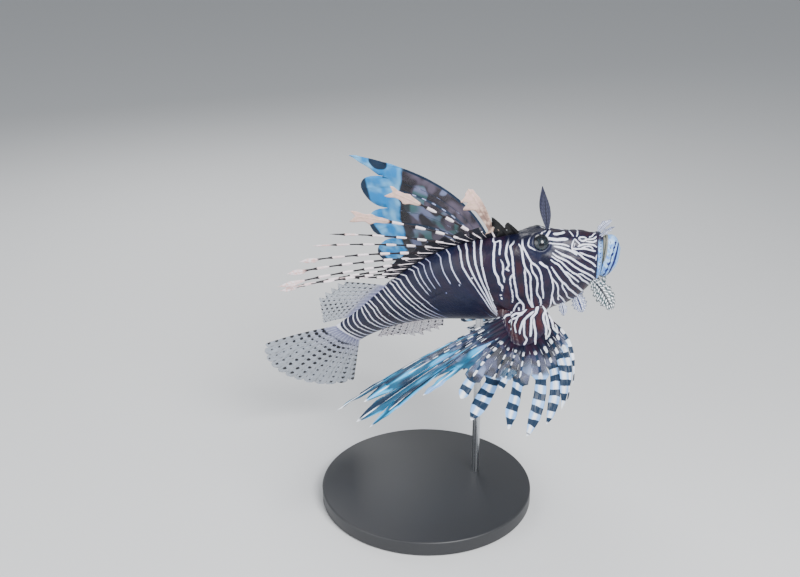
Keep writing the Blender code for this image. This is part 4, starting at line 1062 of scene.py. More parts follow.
class Fin:
    """A fin: one thin sheet between rays up to its notches, and free blades beyond them."""

    ACROSS = np.array([0.0, 0.07, 0.16, 0.32, 0.52, 0.76, 1.0])
    OUTER_RIM = 0.0011

    def __init__(self, name: str, rays: Rays, shape: FinShape, blades: Blades | None = None) -> None:
        """Keeps the fin's name, rays and sizes, with the blades' widths if they are given."""
        self.name, self.rays, self.shape, self.blades = name, rays, shape, blades

    def steps(self) -> tuple[Array, int]:
        """Steps along each ray, one row of steps a ray, and the row of the notch."""
        held = np.linspace(0, 1, self.shape.held_rows + 1)
        free = np.linspace(0, 1, self.shape.free_rows + 1)[1:]
        notch = self.rays.notch[:, None]
        return np.concatenate([held * notch, notch + (1 - notch) * free], axis=1), self.shape.held_rows

    def paths(self, steps: Array) -> Array:
        """Points along every ray on its quadratic curve, the root sunk into the flesh."""
        u = steps[..., None]
        root, bend, tip = (v[:, None] for v in (self.rays.root, self.rays.bend, self.rays.tip))
        sunk = root - unit(bend - root) * self.shape.root_sink
        return (1 - u) ** 2 * sunk + 2 * u * (1 - u) * bend + u**2 * tip

    def blade_reach(self, free: Array, gap: Array, side: int) -> Array:
        """Half width of the free ends at shares of their length past the notch.

        Args:
            free: share of the way from the notch to the tip, one row a ray.
            gap: half the distance to the next ray at each notch.
            side: 0 ahead of the rays, 1 behind them.

        Returns:
            Half widths in metres, one row a ray.
        """
        own = self.rays.width[:, None]
        if self.blades is not None:
            tables = self.blades.ahead if side == 0 else self.blades.behind
            share = np.linspace(0, 1, tables.shape[1])
            width = own * np.stack([np.interp(f, share, b) for f, b in zip(free, tables)])
            return width + np.maximum(gap[:, None] * 0.96 - width[:, :1], 0) * (1 - ease(free, 0.0, 0.08)) ** 1.5
        full = np.maximum(gap[:, None] * 0.97, own * 0.6)
        if self.shape.margin is not Margin.LOBED:
            full = np.minimum(full, own * 1.5)
        peak = self.shape.blade_peak
        rise = 0.72 + 0.28 * np.sin(np.minimum(free / peak, 1) * math.pi / 2)
        beyond = np.clip(free - peak, 0, 1) / (1 - peak)
        blade = own * rise * np.clip(1 - beyond**1.6, 0.002, 1) ** 0.7 * (1 - 0.22 * free**2)
        blade = blade + np.maximum(full - 0.72 * own, 0) * (1 - ease(free, 0.0, self.shape.blend)) ** 1.5
        lobe = full * np.sqrt(np.clip(1 - free**2.6, 0.001, 1))
        reach = lobe if self.shape.margin is Margin.LOBED else blade
        pointed = np.isin(np.arange(len(free)), self.shape.pointed)[:, None]
        return np.where(pointed, full * np.clip(1 - free, 0.01, 1) ** 0.8, reach)

    def half_sheet(self, side: int, steps: Array, path: Array, back: Array, face: Array) -> tuple[Array, Array]:
        """Edge points of the sheet and blades on one side of every ray, and the bow of the sheet.

        Up to the notch the edge is the line midway to the next ray, read on paths that are
        drawn back towards the notch so that the margin is scalloped. Beyond it the edge lies
        the blade's half width from the ray, square to it.
        """
        count, rows = steps.shape
        held = self.shape.held_rows
        sign = 1 if side else -1
        other = np.arange(count) + sign
        outer = (other < 0) | (other >= count)
        other = np.clip(other, 0, count - 1)
        middle = (back + back[other]) / 2
        gap = np.linalg.norm(middle - path, axis=-1)
        along = unit(np.gradient(path, axis=1))
        towards = sign * np.gradient(path, axis=0)
        away = unit(towards - along * (towards * along).sum(-1, keepdims=True))
        notch = self.rays.notch[:, None]
        free = np.clip((steps - notch) / np.maximum(1 - notch, 1e-6), 0, 1)
        reach = self.blade_reach(free, gap[:, held], side)
        rim = self.OUTER_RIM * (0.35 + 0.65 * steps / notch)
        if self.blades is None:
            reach = np.where(outer[:, None], np.minimum(self.OUTER_RIM, reach), reach)
        edge = np.where(outer[:, None, None], path + away * np.minimum(rim, self.OUTER_RIM)[..., None], middle)
        beyond = (np.arange(rows) > held)[None, :, None]
        blade = path + away * reach[..., None]
        if self.blades is not None:
            blade = blade + along * (self.blades.fork[:, None] * ease(free, 0.6, 1.0))[..., None]
        bow = self.shape.sag * np.minimum(gap, 0.012) * (1 - ease(steps / notch, 0.85, 1.15)) * ease(steps, 0.05, 0.30)
        return np.where(beyond, blade, edge), bow

    def build(self, material: bpy.types.Material, strokes: list | None = None) -> bpy.types.Object:
        """Builds the sheet and its free blades as one thin shell with raised rays.

        Args:
            material: the fin's finish, which reads the values kept on the points.
            strokes: white lines near the fin's root, as half widths and paths in mm.

        Returns:
            The fin's object.
        """
        shape, count = self.shape, len(self.rays.root)
        steps, held = self.steps()
        rows = steps.shape[1]
        path = self.paths(steps)
        drawn = steps.copy()
        drawn[:, : held + 1] *= 1 - shape.dip * np.linspace(0, 1, held + 1) ** 4
        back = self.paths(drawn)
        face = unit(np.cross(unit(np.gradient(path, axis=1)), np.gradient(path, axis=0)))
        half = len(self.ACROSS) - 1
        grid = np.empty((count, 2 * half + 1, rows, 3))
        for side in (0, 1):
            edge, bow = self.half_sheet(side, steps, path, back, face)
            for place, share in enumerate(self.ACROSS):
                lift = face * (bow * 2 * share * (1 - share / 2))[..., None]
                grid[:, half + (place if side else -place)] = path + (edge - path) * share + lift
        reach = np.linalg.norm(grid - grid[:, half][:, None], axis=-1)
        if shape.ruffle:
            wave = ripple(grid * MM, 15.0, 17) * shape.ruffle
            grid = grid + face[:, None] * (wave * ease(steps, 0.2, 1.0)[:, None] * ease(reach, 0, 0.002))[..., None]
        number = np.arange(reach.size).reshape(reach.shape)
        points = grid.reshape(-1, 3)
        points[number[:-1, -1, : held + 1]] = (grid[1:, 0, : held + 1] + grid[:-1, -1, : held + 1]) / 2
        number[1:, 0, : held + 1] = number[:-1, -1, : held + 1]
        a, b, c, d = (
            number[:, :-1, :-1].ravel(), number[:, 1:, :-1].ravel(),
            number[:, 1:, 1:].ravel(), number[:, :-1, 1:].ravel(),
        )
        faces = np.concatenate([np.stack([a, b, c], -1), np.stack([a, c, d], -1)])
        radius = shape.ray_radius * (1 - 0.55 * steps)[:, None]
        ray = np.exp(-((reach / radius) ** 2))
        girth = shape.membrane * (1 - 0.4 * steps[:, None]) + 2 * radius * ray
        girth = girth * (1 - 0.8 * ease(steps, 0.95, 1.0)[:, None])
        shell_points, shell = thicken(points, girth.reshape(-1), faces)
        values = self.values(steps, path, reach, ray, half)
        if strokes is not None:
            near = (steps < 0.3)[:, None] & np.ones_like(reach, bool)
            ink = np.full(reach.shape, 9.0)
            ink[near] = stroke_distance(grid[near] * MM, strokes)
            values["ink"] = ink
        doubled = {k: np.tile(v.reshape(-1), 2) for k, v in values.items()}
        obj = build_mesh(self.name + "_membrane", shell_points, shell, material, doubled)
        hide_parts(self.name)
        return obj

    def values(self, steps: Array, path: Array, reach: Array, ray: Array, half: int) -> dict[str, Array]:
        """Values for the finish: mm along and across each ray, its number, and shares of its length."""
        length = np.linalg.norm(np.diff(path, axis=1, prepend=path[:, :1]), axis=-1).cumsum(axis=1) * MM
        side = np.sign(np.arange(reach.shape[1]) - half)[None, :, None]
        notch = self.rays.notch[:, None]
        free = np.clip((steps - notch) / (1 - notch), 0, 1)
        shape = reach.shape
        number = np.arange(shape[0])[:, None, None]
        shares = np.concatenate([self.ACROSS[:0:-1], self.ACROSS])[None, :, None]
        return {
            "along": np.broadcast_to(length[:, None], shape), "across": reach * MM * side, "spine": ray,
            "fan": number + side * shares * 0.5 + np.zeros(shape),
            "step": np.broadcast_to(steps[:, None], shape), "free": np.broadcast_to(free[:, None], shape),
            "ray": number + np.zeros(shape),
        }


@dataclass(frozen=True)
class FanFinish:
    """Fin skin of a broad fan: smoky web, and rays barred dark and white to their tips.

    The near fan's front blades are banded slate and pale blue and its rear rays streaked
    lengthwise in cyan. The far fan's lobes end in dark ovals on bright cyan.
    """

    name: str
    root: str = "#251127"
    root_dark: str = "#0c1026"
    smoke: str = "#4b5274"
    smoke_dark: str = "#1b1c2c"
    patch: str = "#8fa3d0"
    pale: str = "#86b8f4"
    white: str = "#f1f6ff"
    cyan: str = "#2fb4ee"
    teal: str = "#175a7c"
    slate: str = "#142c45"
    band_mm: float = 10.4
    rear_ray: float = 4.5
    slate_far: str = "#14131b"
    dash: str = "#f1f6ff"
    clear: float = 0.34
    far: bool = False

    def streaks(self, n: Nodes, along):
        """Soft strokes drawn out lengthwise along the rays, 0 to 1."""
        wide = n.sum("MULTIPLY", n.value("fan"), 1.35)
        place = add_node(n.tree, "ShaderNodeCombineXYZ", None, in_0=wide, in_1=n.sum("MULTIPLY", along, 0.026))
        return n.noise(1.0, place.outputs[0], 1.0, 0.5)

    def outer_tone(self, n: Nodes, step, across, ray, cloud):
        """Cyan of the far fan's outer part with pale blotches of painted highlight, a dark oval on its first lobe and
        dark ends on the rest.
        """
        # Pale blotches mixed into the cyan by noise are painted highlights
        bright = n.mix(n.step(cloud, 0.35, 0.75), self.cyan, self.pale)
        end = n.sum("MULTIPLY", n.step(step, 0.955, 0.97), n.step(ray, 0.4, 0.6))
        away = n.sum("DIVIDE", n.sum("SUBTRACT", step, 0.885), 0.040)
        oval = n.sum("ADD", n.sum("MULTIPLY", away, away), n.sum("POWER", n.sum("ABSOLUTE", n.sum("DIVIDE", across, 7.0)), 2.0))
        oval = n.sum("MULTIPLY", n.step(oval, 0.8, 1.1, 1.0, 0.0), n.step(ray, 0.4, 0.6, 1.0, 0.0))
        return n.mix(n.sum("MAXIMUM", end, oval), bright, self.slate)

    def material(self) -> bpy.types.Material:
        """The fin finish, which reads place along and across each ray."""
        n = Nodes(self.name)
        along, ray = n.value("along"), n.value("ray")
        spine, free, step = n.value("spine"), n.value("free"), n.value("step")
        side = n.value("across")
        across = n.sum("ABSOLUTE", side)
        cloud, streak = n.noise(11.0, detail=1.0), self.streaks(n, along)
        wobble = n.sum("SUBTRACT", cloud, 0.5)
        stagger = n.sum("MULTIPLY", n.sum("SINE", n.sum("MULTIPLY", ray, 2.4)), 1.6)
        run = n.sum("ADD", n.sum("ADD", along, stagger), n.sum("MULTIPLY", wobble, 5.0))
        # One beat runs down each ray: white dashes on the web turn into bands past it
        beat = n.sum("SINE", n.sum("MULTIPLY", n.sum("DIVIDE", run, self.band_mm), 2 * math.pi))
        rear = n.step(ray, self.rear_ray - 0.5, self.rear_ray + 0.5, 1.0, 0.0)
        near = n.mix(n.step(streak, 0.42, 0.58), self.root_dark, self.root)
        smoke = n.mix(n.step(cloud, 0.38, 0.60), self.smoke_dark, self.smoke)
        patch = n.sum("MULTIPLY", n.step(n.noise(13.0, detail=0.5), 0.52, 0.60), n.step(step, 0.25, 0.40))
        smoke = n.mix(n.sum("MULTIPLY", patch, 0.75), smoke, n.mix(n.step(streak, 0.4, 0.6), self.patch, self.teal))
        web = n.mix(n.step(n.sum("ADD", step, n.sum("MULTIPLY", wobble, 0.2)), 0.14, 0.30), near, smoke)
        bright = n.mix(n.step(streak, 0.38, 0.52), self.slate, self.teal)
        bright = n.mix(n.step(streak, 0.53, 0.60), bright, self.cyan)
        bright = n.mix(n.step(streak, 0.62, 0.70), bright, self.pale)
        fifth = n.sum("MULTIPLY", n.step(ray, 3.5, 3.6), n.step(ray, 4.4, 4.5, 1.0, 0.0))
        bright = n.mix(n.sum("MULTIPLY", fifth, n.step(free, 0.15, 0.45)), bright, n.mix(n.step(cloud, 0.4, 0.6), self.pale, self.cyan))
        if self.far:
            ragged = n.sum("ADD", step, n.sum("MULTIPLY", wobble, 0.05))
            outer = n.step(ragged, 0.765, 0.785)
            bright = self.outer_tone(n, step, side, ray, cloud)
            band = n.sum("MULTIPLY", n.step(ragged, 0.68, 0.71), n.step(n.value("fan"), 0.35, 0.5))
            web = n.mix(n.sum("MULTIPLY", band, 0.85), web, self.slate_far)
        else:
            start = n.sum("ADD", step, n.sum("MULTIPLY", n.sum("SUBTRACT", streak, 0.5), 1.1))
            outer = n.step(start, 0.28, 0.46)
        web = n.mix(n.sum("MULTIPLY", rear, outer), web, bright)
        rung = n.mix(n.step(beat, -0.18, 0.05), self.slate, n.mix(n.step(across, 0.4, 2.6), self.white, self.pale))
        blade = n.mix(rear, rung, bright)
        if not self.far:
            blade = n.mix(n.step(step, 0.965, 0.99), blade, self.white)
        colour = n.mix(n.step(free, 0.0, 0.05), web, blade)
        # Rays under the web: dark bars broken by white dashes drawn out like drops
        front = n.sum("SUBTRACT", 1.0, n.sum("MULTIPLY", rear, outer))
        held = n.sum("MULTIPLY", n.step(free, 0.0, 0.12, 1.0, 0.0), front)
        bar = n.sum("MULTIPLY", n.step(across, 0.9, 1.5, 1.0, 0.0), n.step(step, 0.06, 0.14))
        colour = n.mix(n.sum("MULTIPLY", n.sum("MULTIPLY", bar, held), 0.9), colour, self.slate)
        narrow = n.sum("MULTIPLY", across, n.sum("ADD", n.sum("MULTIPLY", rear, 1.2), 1.0))
        drop = n.sum("SUBTRACT", n.sum("MULTIPLY", n.sum("ADD", beat, 0.0 if self.far else 0.28), 2.2), narrow)
        drop = n.sum("MULTIPLY", n.step(drop, 0.0, 0.3), n.step(narrow, 1.15, 1.4, 1.0, 0.0))
        dash = n.sum("MULTIPLY", n.sum("MULTIPLY", drop, held), n.step(step, 0.10, 0.16))
        # A white line runs out along each rear ray
        cord = n.sum("MULTIPLY", n.step(across, 0.35, 0.6, 1.0, 0.0), n.sum("MULTIPLY", rear, outer))
        cord = n.sum("MULTIPLY", cord, n.step(n.noise(20.0, detail=0.0), 0.42, 0.52))
        if self.far:
            some = n.sum("MULTIPLY", n.step(ray, 0.4, 0.6), n.step(n.noise(14.0, detail=0.0), 0.46, 0.52))
            colour = n.mix(n.sum("MULTIPLY", dash, some), colour, self.dash)
        else:
            colour = n.mix(n.sum("MAXIMUM", dash, cord), colour, self.dash)
        root_line = n.step(n.value("ink"), -0.15, 0.2, 1.0, 0.0)
        colour = n.mix(root_line, colour, self.white)
        # The web between the rays lets some light through, the rays and bands don't
        thin = n.sum("MULTIPLY", n.step(across, 1.0, 1.8), n.step(free, 0.0, 0.12, 1.0, 0.0))
        thin = n.sum("MULTIPLY", n.sum("MULTIPLY", thin, n.step(step, 0.10, 0.30)), n.sum("SUBTRACT", 1.0, root_line))
        thin = n.sum("MULTIPLY", thin, n.sum("SUBTRACT", 1.0, n.sum("MULTIPLY", n.sum("MULTIPLY", rear, outer), 0.6)))
        alpha = n.sum("SUBTRACT", 1.0, n.sum("MULTIPLY", thin, self.clear))
        folds = n.sum("SINE", n.sum("MULTIPLY", across, 5.2))
        relief = n.bump(n.step(folds, -1.0, 1.0), 0.05)
        relief = n.bump(n.noise(0.8, detail=4.0), 0.04, relief)
        return n.finish(colour, 0.48, relief, alpha, IOR=1.34, Coat_Weight=0.08, Coat_Roughness=0.25)


@dataclass(frozen=True)
class SoftFinFinish:
    """Glassy fin skin with small dark oval spots in rows that run with its base."""

    name: str
    near: str = "#8d8fb4"
    web: str = "#8c98a6"
    spot: str = "#14151c"
    row_mm: float = 4.6
    spot_mm: float = 1.0
    clear: float = 0.60

    def material(self) -> bpy.types.Material:
        """The fin finish: one spot on every ray in every row, a little off its place."""
        n = Nodes(self.name)
        along, across, ray = n.value("along"), n.value("across"), n.value("ray")
        spine, step = n.value("spine"), n.value("step")
        jitter = n.sum("MULTIPLY", n.sum("SINE", n.sum("MULTIPLY", ray, 5.1)), 0.13)
        rows = n.sum("ADD", n.sum("DIVIDE", along, self.row_mm), jitter)
        down = n.sum("MULTIPLY", n.sum("SUBTRACT", rows, n.sum("ROUND", rows)), self.row_mm * 1.15)
        cell = n.sum("SINE", n.sum("ADD", n.sum("MULTIPLY", n.sum("ROUND", rows), 12.9), n.sum("MULTIPLY", ray, 7.3)))
        size = n.sum("ADD", self.spot_mm, n.sum("MULTIPLY", cell, self.spot_mm * 0.35))
        away = n.sum("SQRT", n.sum("ADD", n.sum("POWER", n.sum("ABSOLUTE", down), 2.0), n.sum("POWER", n.sum("ABSOLUTE", across), 2.0)))
        spot = n.sum("MULTIPLY", n.step(n.sum("SUBTRACT", away, size), -0.22, 0.12, 1.0, 0.0), n.step(step, 0.10, 0.22))
        cloud = n.noise(9.0, detail=2.0)
        web = n.mix(n.step(step, 0.0, 0.55), self.near, n.mix(cloud, self.web, "#b3bccb"))
        web = n.mix(n.sum("MULTIPLY", n.step(spine, 0.1, 0.6), 0.5), web, "#c3cbe0")
        colour = n.mix(spot, web, self.spot)
        thin = n.sum("MULTIPLY", n.step(spine, 0.05, 0.5, 1.0, 0.45), n.sum("SUBTRACT", 1.0, spot))
        alpha = n.sum("SUBTRACT", 1.0, n.sum("MULTIPLY", n.sum("MULTIPLY", thin, n.step(step, 0.0, 0.25)), self.clear))
        folds = n.sum("SINE", n.sum("MULTIPLY", across, 7.0))
        relief = n.bump(n.step(folds, -1.0, 1.0), 0.05)
        return n.finish(colour, 0.34, relief, alpha, IOR=1.38, Coat_Weight=0.3, Coat_Roughness=0.18)


def spine_beat(along: Array, ray: Array) -> Array:
    """Count of pale dashes up to a place in mm along a dorsal spine; they lengthen towards the tip."""
    return (along + SPINE_SHIFT * np.sin(SPINE_TURN * ray)) / (SPINE_BAND + SPINE_STRETCH * along)


@dataclass(frozen=True)
class SpinyFinish:
    """Banded spines with soft banners: white-pink dashes on dark rods, cream leaf tips."""

    white: str = "#fbeef4"
    pink: str = "#f2c9c4"
    cream: str = "#dcbcaa"
    cream_dark: str = "#8d7066"
    rod: str = "#160d16"
    web: str = "#0b0c1a"
    black: str = "#050508"

    def material(self) -> bpy.types.Material:
        """The spine finish, which reads the spine's number and place along it."""
        n = Nodes("banded_spine_skin")
        along, ray, spine = n.value("along"), n.value("ray"), n.value("spine")
        free, step = n.value("free"), n.value("step")
        shift = n.sum("MULTIPLY", n.sum("SINE", n.sum("MULTIPLY", ray, SPINE_TURN)), SPINE_SHIFT)
        stretch = n.sum("ADD", n.sum("MULTIPLY", along, SPINE_STRETCH), SPINE_BAND)
        beat = n.sum("DIVIDE", n.sum("ADD", along, shift), stretch)
        wave = n.sum("SINE", n.sum("MULTIPLY", beat, 2 * math.pi))
        cloud = n.noise(3.0)
        pale = n.mix(n.step(step, 0.55, 0.90), self.white, n.mix(n.step(cloud, 0.3, 0.7), self.pink, self.white))
        colour = n.mix(n.step(wave, 0.02, 0.20), self.rod, pale)
        tip = n.sum("MULTIPLY", n.step(step, 0.84, 0.88), n.step(ray, 5.5, 5.6))
        colour = n.mix(tip, colour, n.mix(n.step(cloud, 0.4, 0.6), self.white, self.pink))
        cream = n.mix(n.step(n.noise(4.0), 0.38, 0.66), self.cream_dark, self.cream)
        cream = n.mix(n.step(step, 0.50, 0.85), cream, n.mix(n.step(cloud, 0.35, 0.7), self.cream, self.pink))
        third = n.sum("MULTIPLY", n.step(ray, 1.5, 1.6), n.step(ray, 2.4, 2.5, 1.0, 0.0))
        leaf = n.sum("MULTIPLY", n.step(ray, 1.5, 1.6), n.step(ray, 4.4, 4.5, 1.0, 0.0))
        leaf = n.sum("MULTIPLY", leaf, n.step(free, 0.66, 0.69))
        colour = n.mix(n.sum("MAXIMUM", third, leaf), colour, cream)
        skirt = n.sum("MULTIPLY", n.step(free, 0.06, 0.10, 1.0, 0.0), n.step(n.sum("ABSOLUTE", n.value("across")), 1.0, 1.3))
        held = n.sum("MAXIMUM", n.step(free, 0.0, 0.03, 1.0, 0.0), n.sum("MULTIPLY", skirt, n.step(ray, 2.4, 2.5)))
        streak = n.sum("MULTIPLY", n.step(n.sum("ABSOLUTE", n.value("across")), 0.5, 0.8, 1.0, 0.0), n.step(step, 0.03, 0.06))
        colour = n.mix(held, colour, n.mix(streak, self.web, self.white))
        # The first two spines are painted near black: their dark web, with painted shade at the nape
        nape_web_and_shade = n.step(ray, 1.4, 1.5, 1.0, 0.0)
        colour = n.mix(nape_web_and_shade, colour, self.black)
        relief = n.bump(n.noise(0.7, detail=4.0), 0.08)
        return n.finish(colour, 0.42, relief, IOR=1.38, Coat_Weight=0.2, Coat_Roughness=0.25)


@dataclass
class Fins:
    """All the fins, each in the place of its solid."""

    spine_width: float = 0.0026
    web_share: float = 0.12

    def blades(self) -> Blades:
        """Banners of the spines: thin rods with lumpy tips, three cream leaves, two black stubs whose black is their
        dark web with painted shade of the nape.
        """
        place = np.linspace(0, 1, 121)
        count = len(SPINES)
        length = np.array(SPINES)[:, 2:3] * LENGTH_MM
        along = length * (self.web_share + (1 - self.web_share) * place)
        beat = np.sin(2 * math.pi * spine_beat(along, np.arange(count)[:, None]))
        rod = 0.44 - 0.12 * place + 0.12 * np.clip(beat * 2, -1, 1)
        ahead, behind = rod * 0.9, rod * 1.1
        tips = bell(place, 0.90, 0.07)[None] * np.array([0, 0, 0, 0, 0, 0.1, 0.15, 0.6, 0.75, 0.75, 0.55, 0.3, 0.2])[:, None]
        ahead, behind = ahead + 0.5 * tips, behind + tips * (1 + 0.3 * np.sin(place[None] * 60))
        # The first two spines' wide stubs: their dark web, drawn out as a dark sheet of painted shade at the nape
        ahead[:2] = 0.9 * (1 - 0.6 * place)
        behind[:2] = 2.6 * (1 - 0.55 * place) * (1 + 0.22 * np.sin(place * 19))
        # The third spine's leaf: a swelling stem, two lobes behind it and a knob on top
        ahead[2] = 0.95 + 0.45 * ease(place, 0.1, 0.6) - 0.35 * ease(place, 0.7, 0.9)
        behind[2] = 0.95 + 0.65 * ease(place, 0.1, 0.6) + 2.9 * bell(place, 0.66, 0.075) + 2.3 * bell(place, 0.83, 0.05)
        # The next two: leaves with a lobe to each side and a forked end
        for spine, lobe in ((3, 0.80), (4, 0.82)):
            swell = ease(place, 0.62, 0.74)
            ahead[spine] += swell * (0.7 + 0.9 * bell(place, 0.97, 0.06)) + 0.5 * bell(place, lobe, 0.03)
            behind[spine] += swell * (0.9 + 1.3 * bell(place, 0.98, 0.07)) + 0.9 * bell(place, lobe, 0.03)
        closed = 1 - 0.93 * ease(place, 0.93, 1.0)
        forked = np.isin(np.arange(count), (3, 4))[:, None]
        fork = np.where(forked[:, 0], 0.0042, 0.0)
        return Blades(ahead * np.where(forked, 1, closed), behind * np.where(forked, 1, closed), fork)

    def spiny(self) -> Fin:
        """Thirteen dorsal spines over a low web, each with a soft banner down its length."""
        s, sweep, length, lean = np.array(SPINES).T
        rays = median_rays(s, 1, sweep, length, lean, 0.05, self.web_share, self.spine_width)
        shape = FinShape(held_rows=14, free_rows=120, ray_radius=0.00065, dip=0.25, root_sink=0.002)
        return Fin("dorsal_fin_spiny", rays, shape, self.blades())

    def soft(self, name: str, side: int, first: float, last: float, count: int, sweeps: tuple, lengths: tuple) -> Fin:
        """A soft fin on the back or the belly with a rounded margin."""
        share = np.linspace(0, 1, count)
        sweep = sweeps[0] + (sweeps[1] - sweeps[0]) * share
        length = np.interp(share, (0, 0.4, 1), lengths)
        rays = median_rays(first + (last - first) * share, side, sweep, length, 0 * share, 0.04, 0.965, 0.0016)
        shape = FinShape(
            ray_radius=0.00032, membrane=0.00016, free_rows=8, dip=0.02, sag=0.06, ruffle=0.0004,
            margin=Margin.LOBED,
        )
        return Fin(name, rays, shape)

    def build(self) -> None:
        """Builds every fin with its finish."""
        near = FanFinish("banded_fan_skin").material()
        far = FanFinish(
            "blotched_fan_skin", smoke="#554c5e", smoke_dark="#29242e", patch="#7d86ae", teal="#3a6f70",
            cyan="#0c83cc", pale="#7cc8fa", dash="#a9b4e0", clear=0.12, far=True,
        ).material()
        small = FanFinish("small_fan_skin", rear_ray=-2.0).material()
        soft = SoftFinFinish("spotted_glassy_skin").material()
        tail = SoftFinFinish("spotted_tail_skin", row_mm=6.6, spot_mm=1.5, clear=0.50).material()
        belly = SoftFinFinish("spotted_pink_skin", near="#a58a9c", web="#b097a6").material()
        near_lobe, far_lobe = Lobe(-1, RIGHT_FAN), Lobe(1, LEFT_FAN)
        fan = FinShape(sag=0.30, dip=0.06, ruffle=0.0007, free_rows=40, blend=0.14, pointed=(0, 1, 2, 3))
        wide = FinShape(sag=0.15, dip=0.02, ruffle=0.0006, free_rows=36, margin=Margin.LOBED, pointed=(0,))
        Fin("pectoral_fin_right", near_lobe.rays, fan).build(near, near_lobe.strokes())
        Fin("pectoral_fin_left", far_lobe.rays, wide).build(far, far_lobe.strokes())
        for side, word in ((1, "left"), (-1, "right")):
            pelvic = fan_rays(side, PELVIC_FAN, PELVIC_RAYS, PELVIC_FRAME)
            Fin("pelvic_fin_" + word, pelvic, FinShape(free_rows=12, sag=0.1)).build(small, [])
        self.spiny().build(SpinyFinish().material())
        self.soft("dorsal_fin_soft", 1, 0.715, 0.93, 11, (56, 68), (0.14, 0.18, 0.10)).build(soft)
        self.soft("anal_fin", -1, 0.62, 0.88, 10, (40, 66), (0.06, 0.11, 0.06)).build(belly)
        shape = FinShape(
            ray_radius=0.00034, membrane=0.00016, free_rows=8, dip=0.015, sag=0.06, ruffle=0.0005,
            margin=Margin.LOBED,
        )
        Fin("caudal_fin", caudal_rays(), shape).build(tail)


@dataclass(frozen=True)
class FlapFinish:
    """Soft see-through skin with pale combs along its stem and rim, and a dark stem."""

    name: str
    inner: str = "#55686a"
    shade: str = "#303c42"
    comb: str = "#f4f7ff"
    stem: str = "#171a26"
    teeth: float = 11.0
    clear: float = 0.08

    def material(self) -> bpy.types.Material:
        """The flap finish, which reads place across and along the flap."""
        n = Nodes(self.name)
        across, along = n.sum("ABSOLUTE", n.value("across")), n.value("along")
        slant = n.sum("ADD", n.sum("MULTIPLY", along, self.teeth), n.sum("MULTIPLY", across, -2.2))
        tooth = n.step(n.sum("SINE", n.sum("MULTIPLY", slant, 2 * math.pi)), -0.10, 0.25)
        inner = n.sum("MULTIPLY", n.step(across, 0.10, 0.16), n.step(across, 0.36, 0.44, 1.0, 0.0))
        rim = n.sum("MULTIPLY", n.step(across, 0.56, 0.62), n.step(across, 0.86, 0.90, 1.0, 0.0))
        white = n.sum("MULTIPLY", tooth, n.sum("MAXIMUM", inner, rim))
        # The shade tone, laid in by noise, is painted shade between the lumps on the lumpy flaps, and the web's own
        # darker tone on the frilled flap and the tentacle
        colour = n.mix(n.noise(2.5), self.inner, self.shade)
        colour = n.mix(white, colour, self.comb)
        stem = n.step(across, 0.06, 0.13, 1.0, 0.0)
        colour = n.mix(stem, colour, self.stem)
        solid = n.sum("MAXIMUM", white, stem)
        alpha = n.sum("SUBTRACT", 1.0, n.sum("MULTIPLY", n.sum("SUBTRACT", 1.0, solid), self.clear))
        return n.finish(colour, 0.4, n.bump(n.noise(0.8), 0.05), alpha, IOR=1.38, Coat_Weight=0.25)


# Flaps: root s z, bend and tip back out up from the root, half width, number of lobes
FLAPS = {
    "brow_tentacle": ((0.133, 0.110), (-0.014, 0.014, 0.068), (-0.034, 0.014, 0.132), 0.015, 0),
    "nose_flap": ((-0.004, 0.023), (-0.020, 0.006, 0.018), (-0.052, 0.008, 0.016), 0.010, 3),
    "jaw_flap": ((0.066, -0.100), (-0.025, 0.042, -0.040), (-0.022, 0.060, -0.092), 0.028, 5),
    "cheek_flap": ((0.130, -0.137), (0.00, 0.01, -0.025), (0.002, 0.012, -0.054), 0.022, 4),
    "throat_flap": ((0.182, -0.132), (0.00, 0.01, -0.018), (0.008, 0.010, -0.040), 0.012, 3),
}


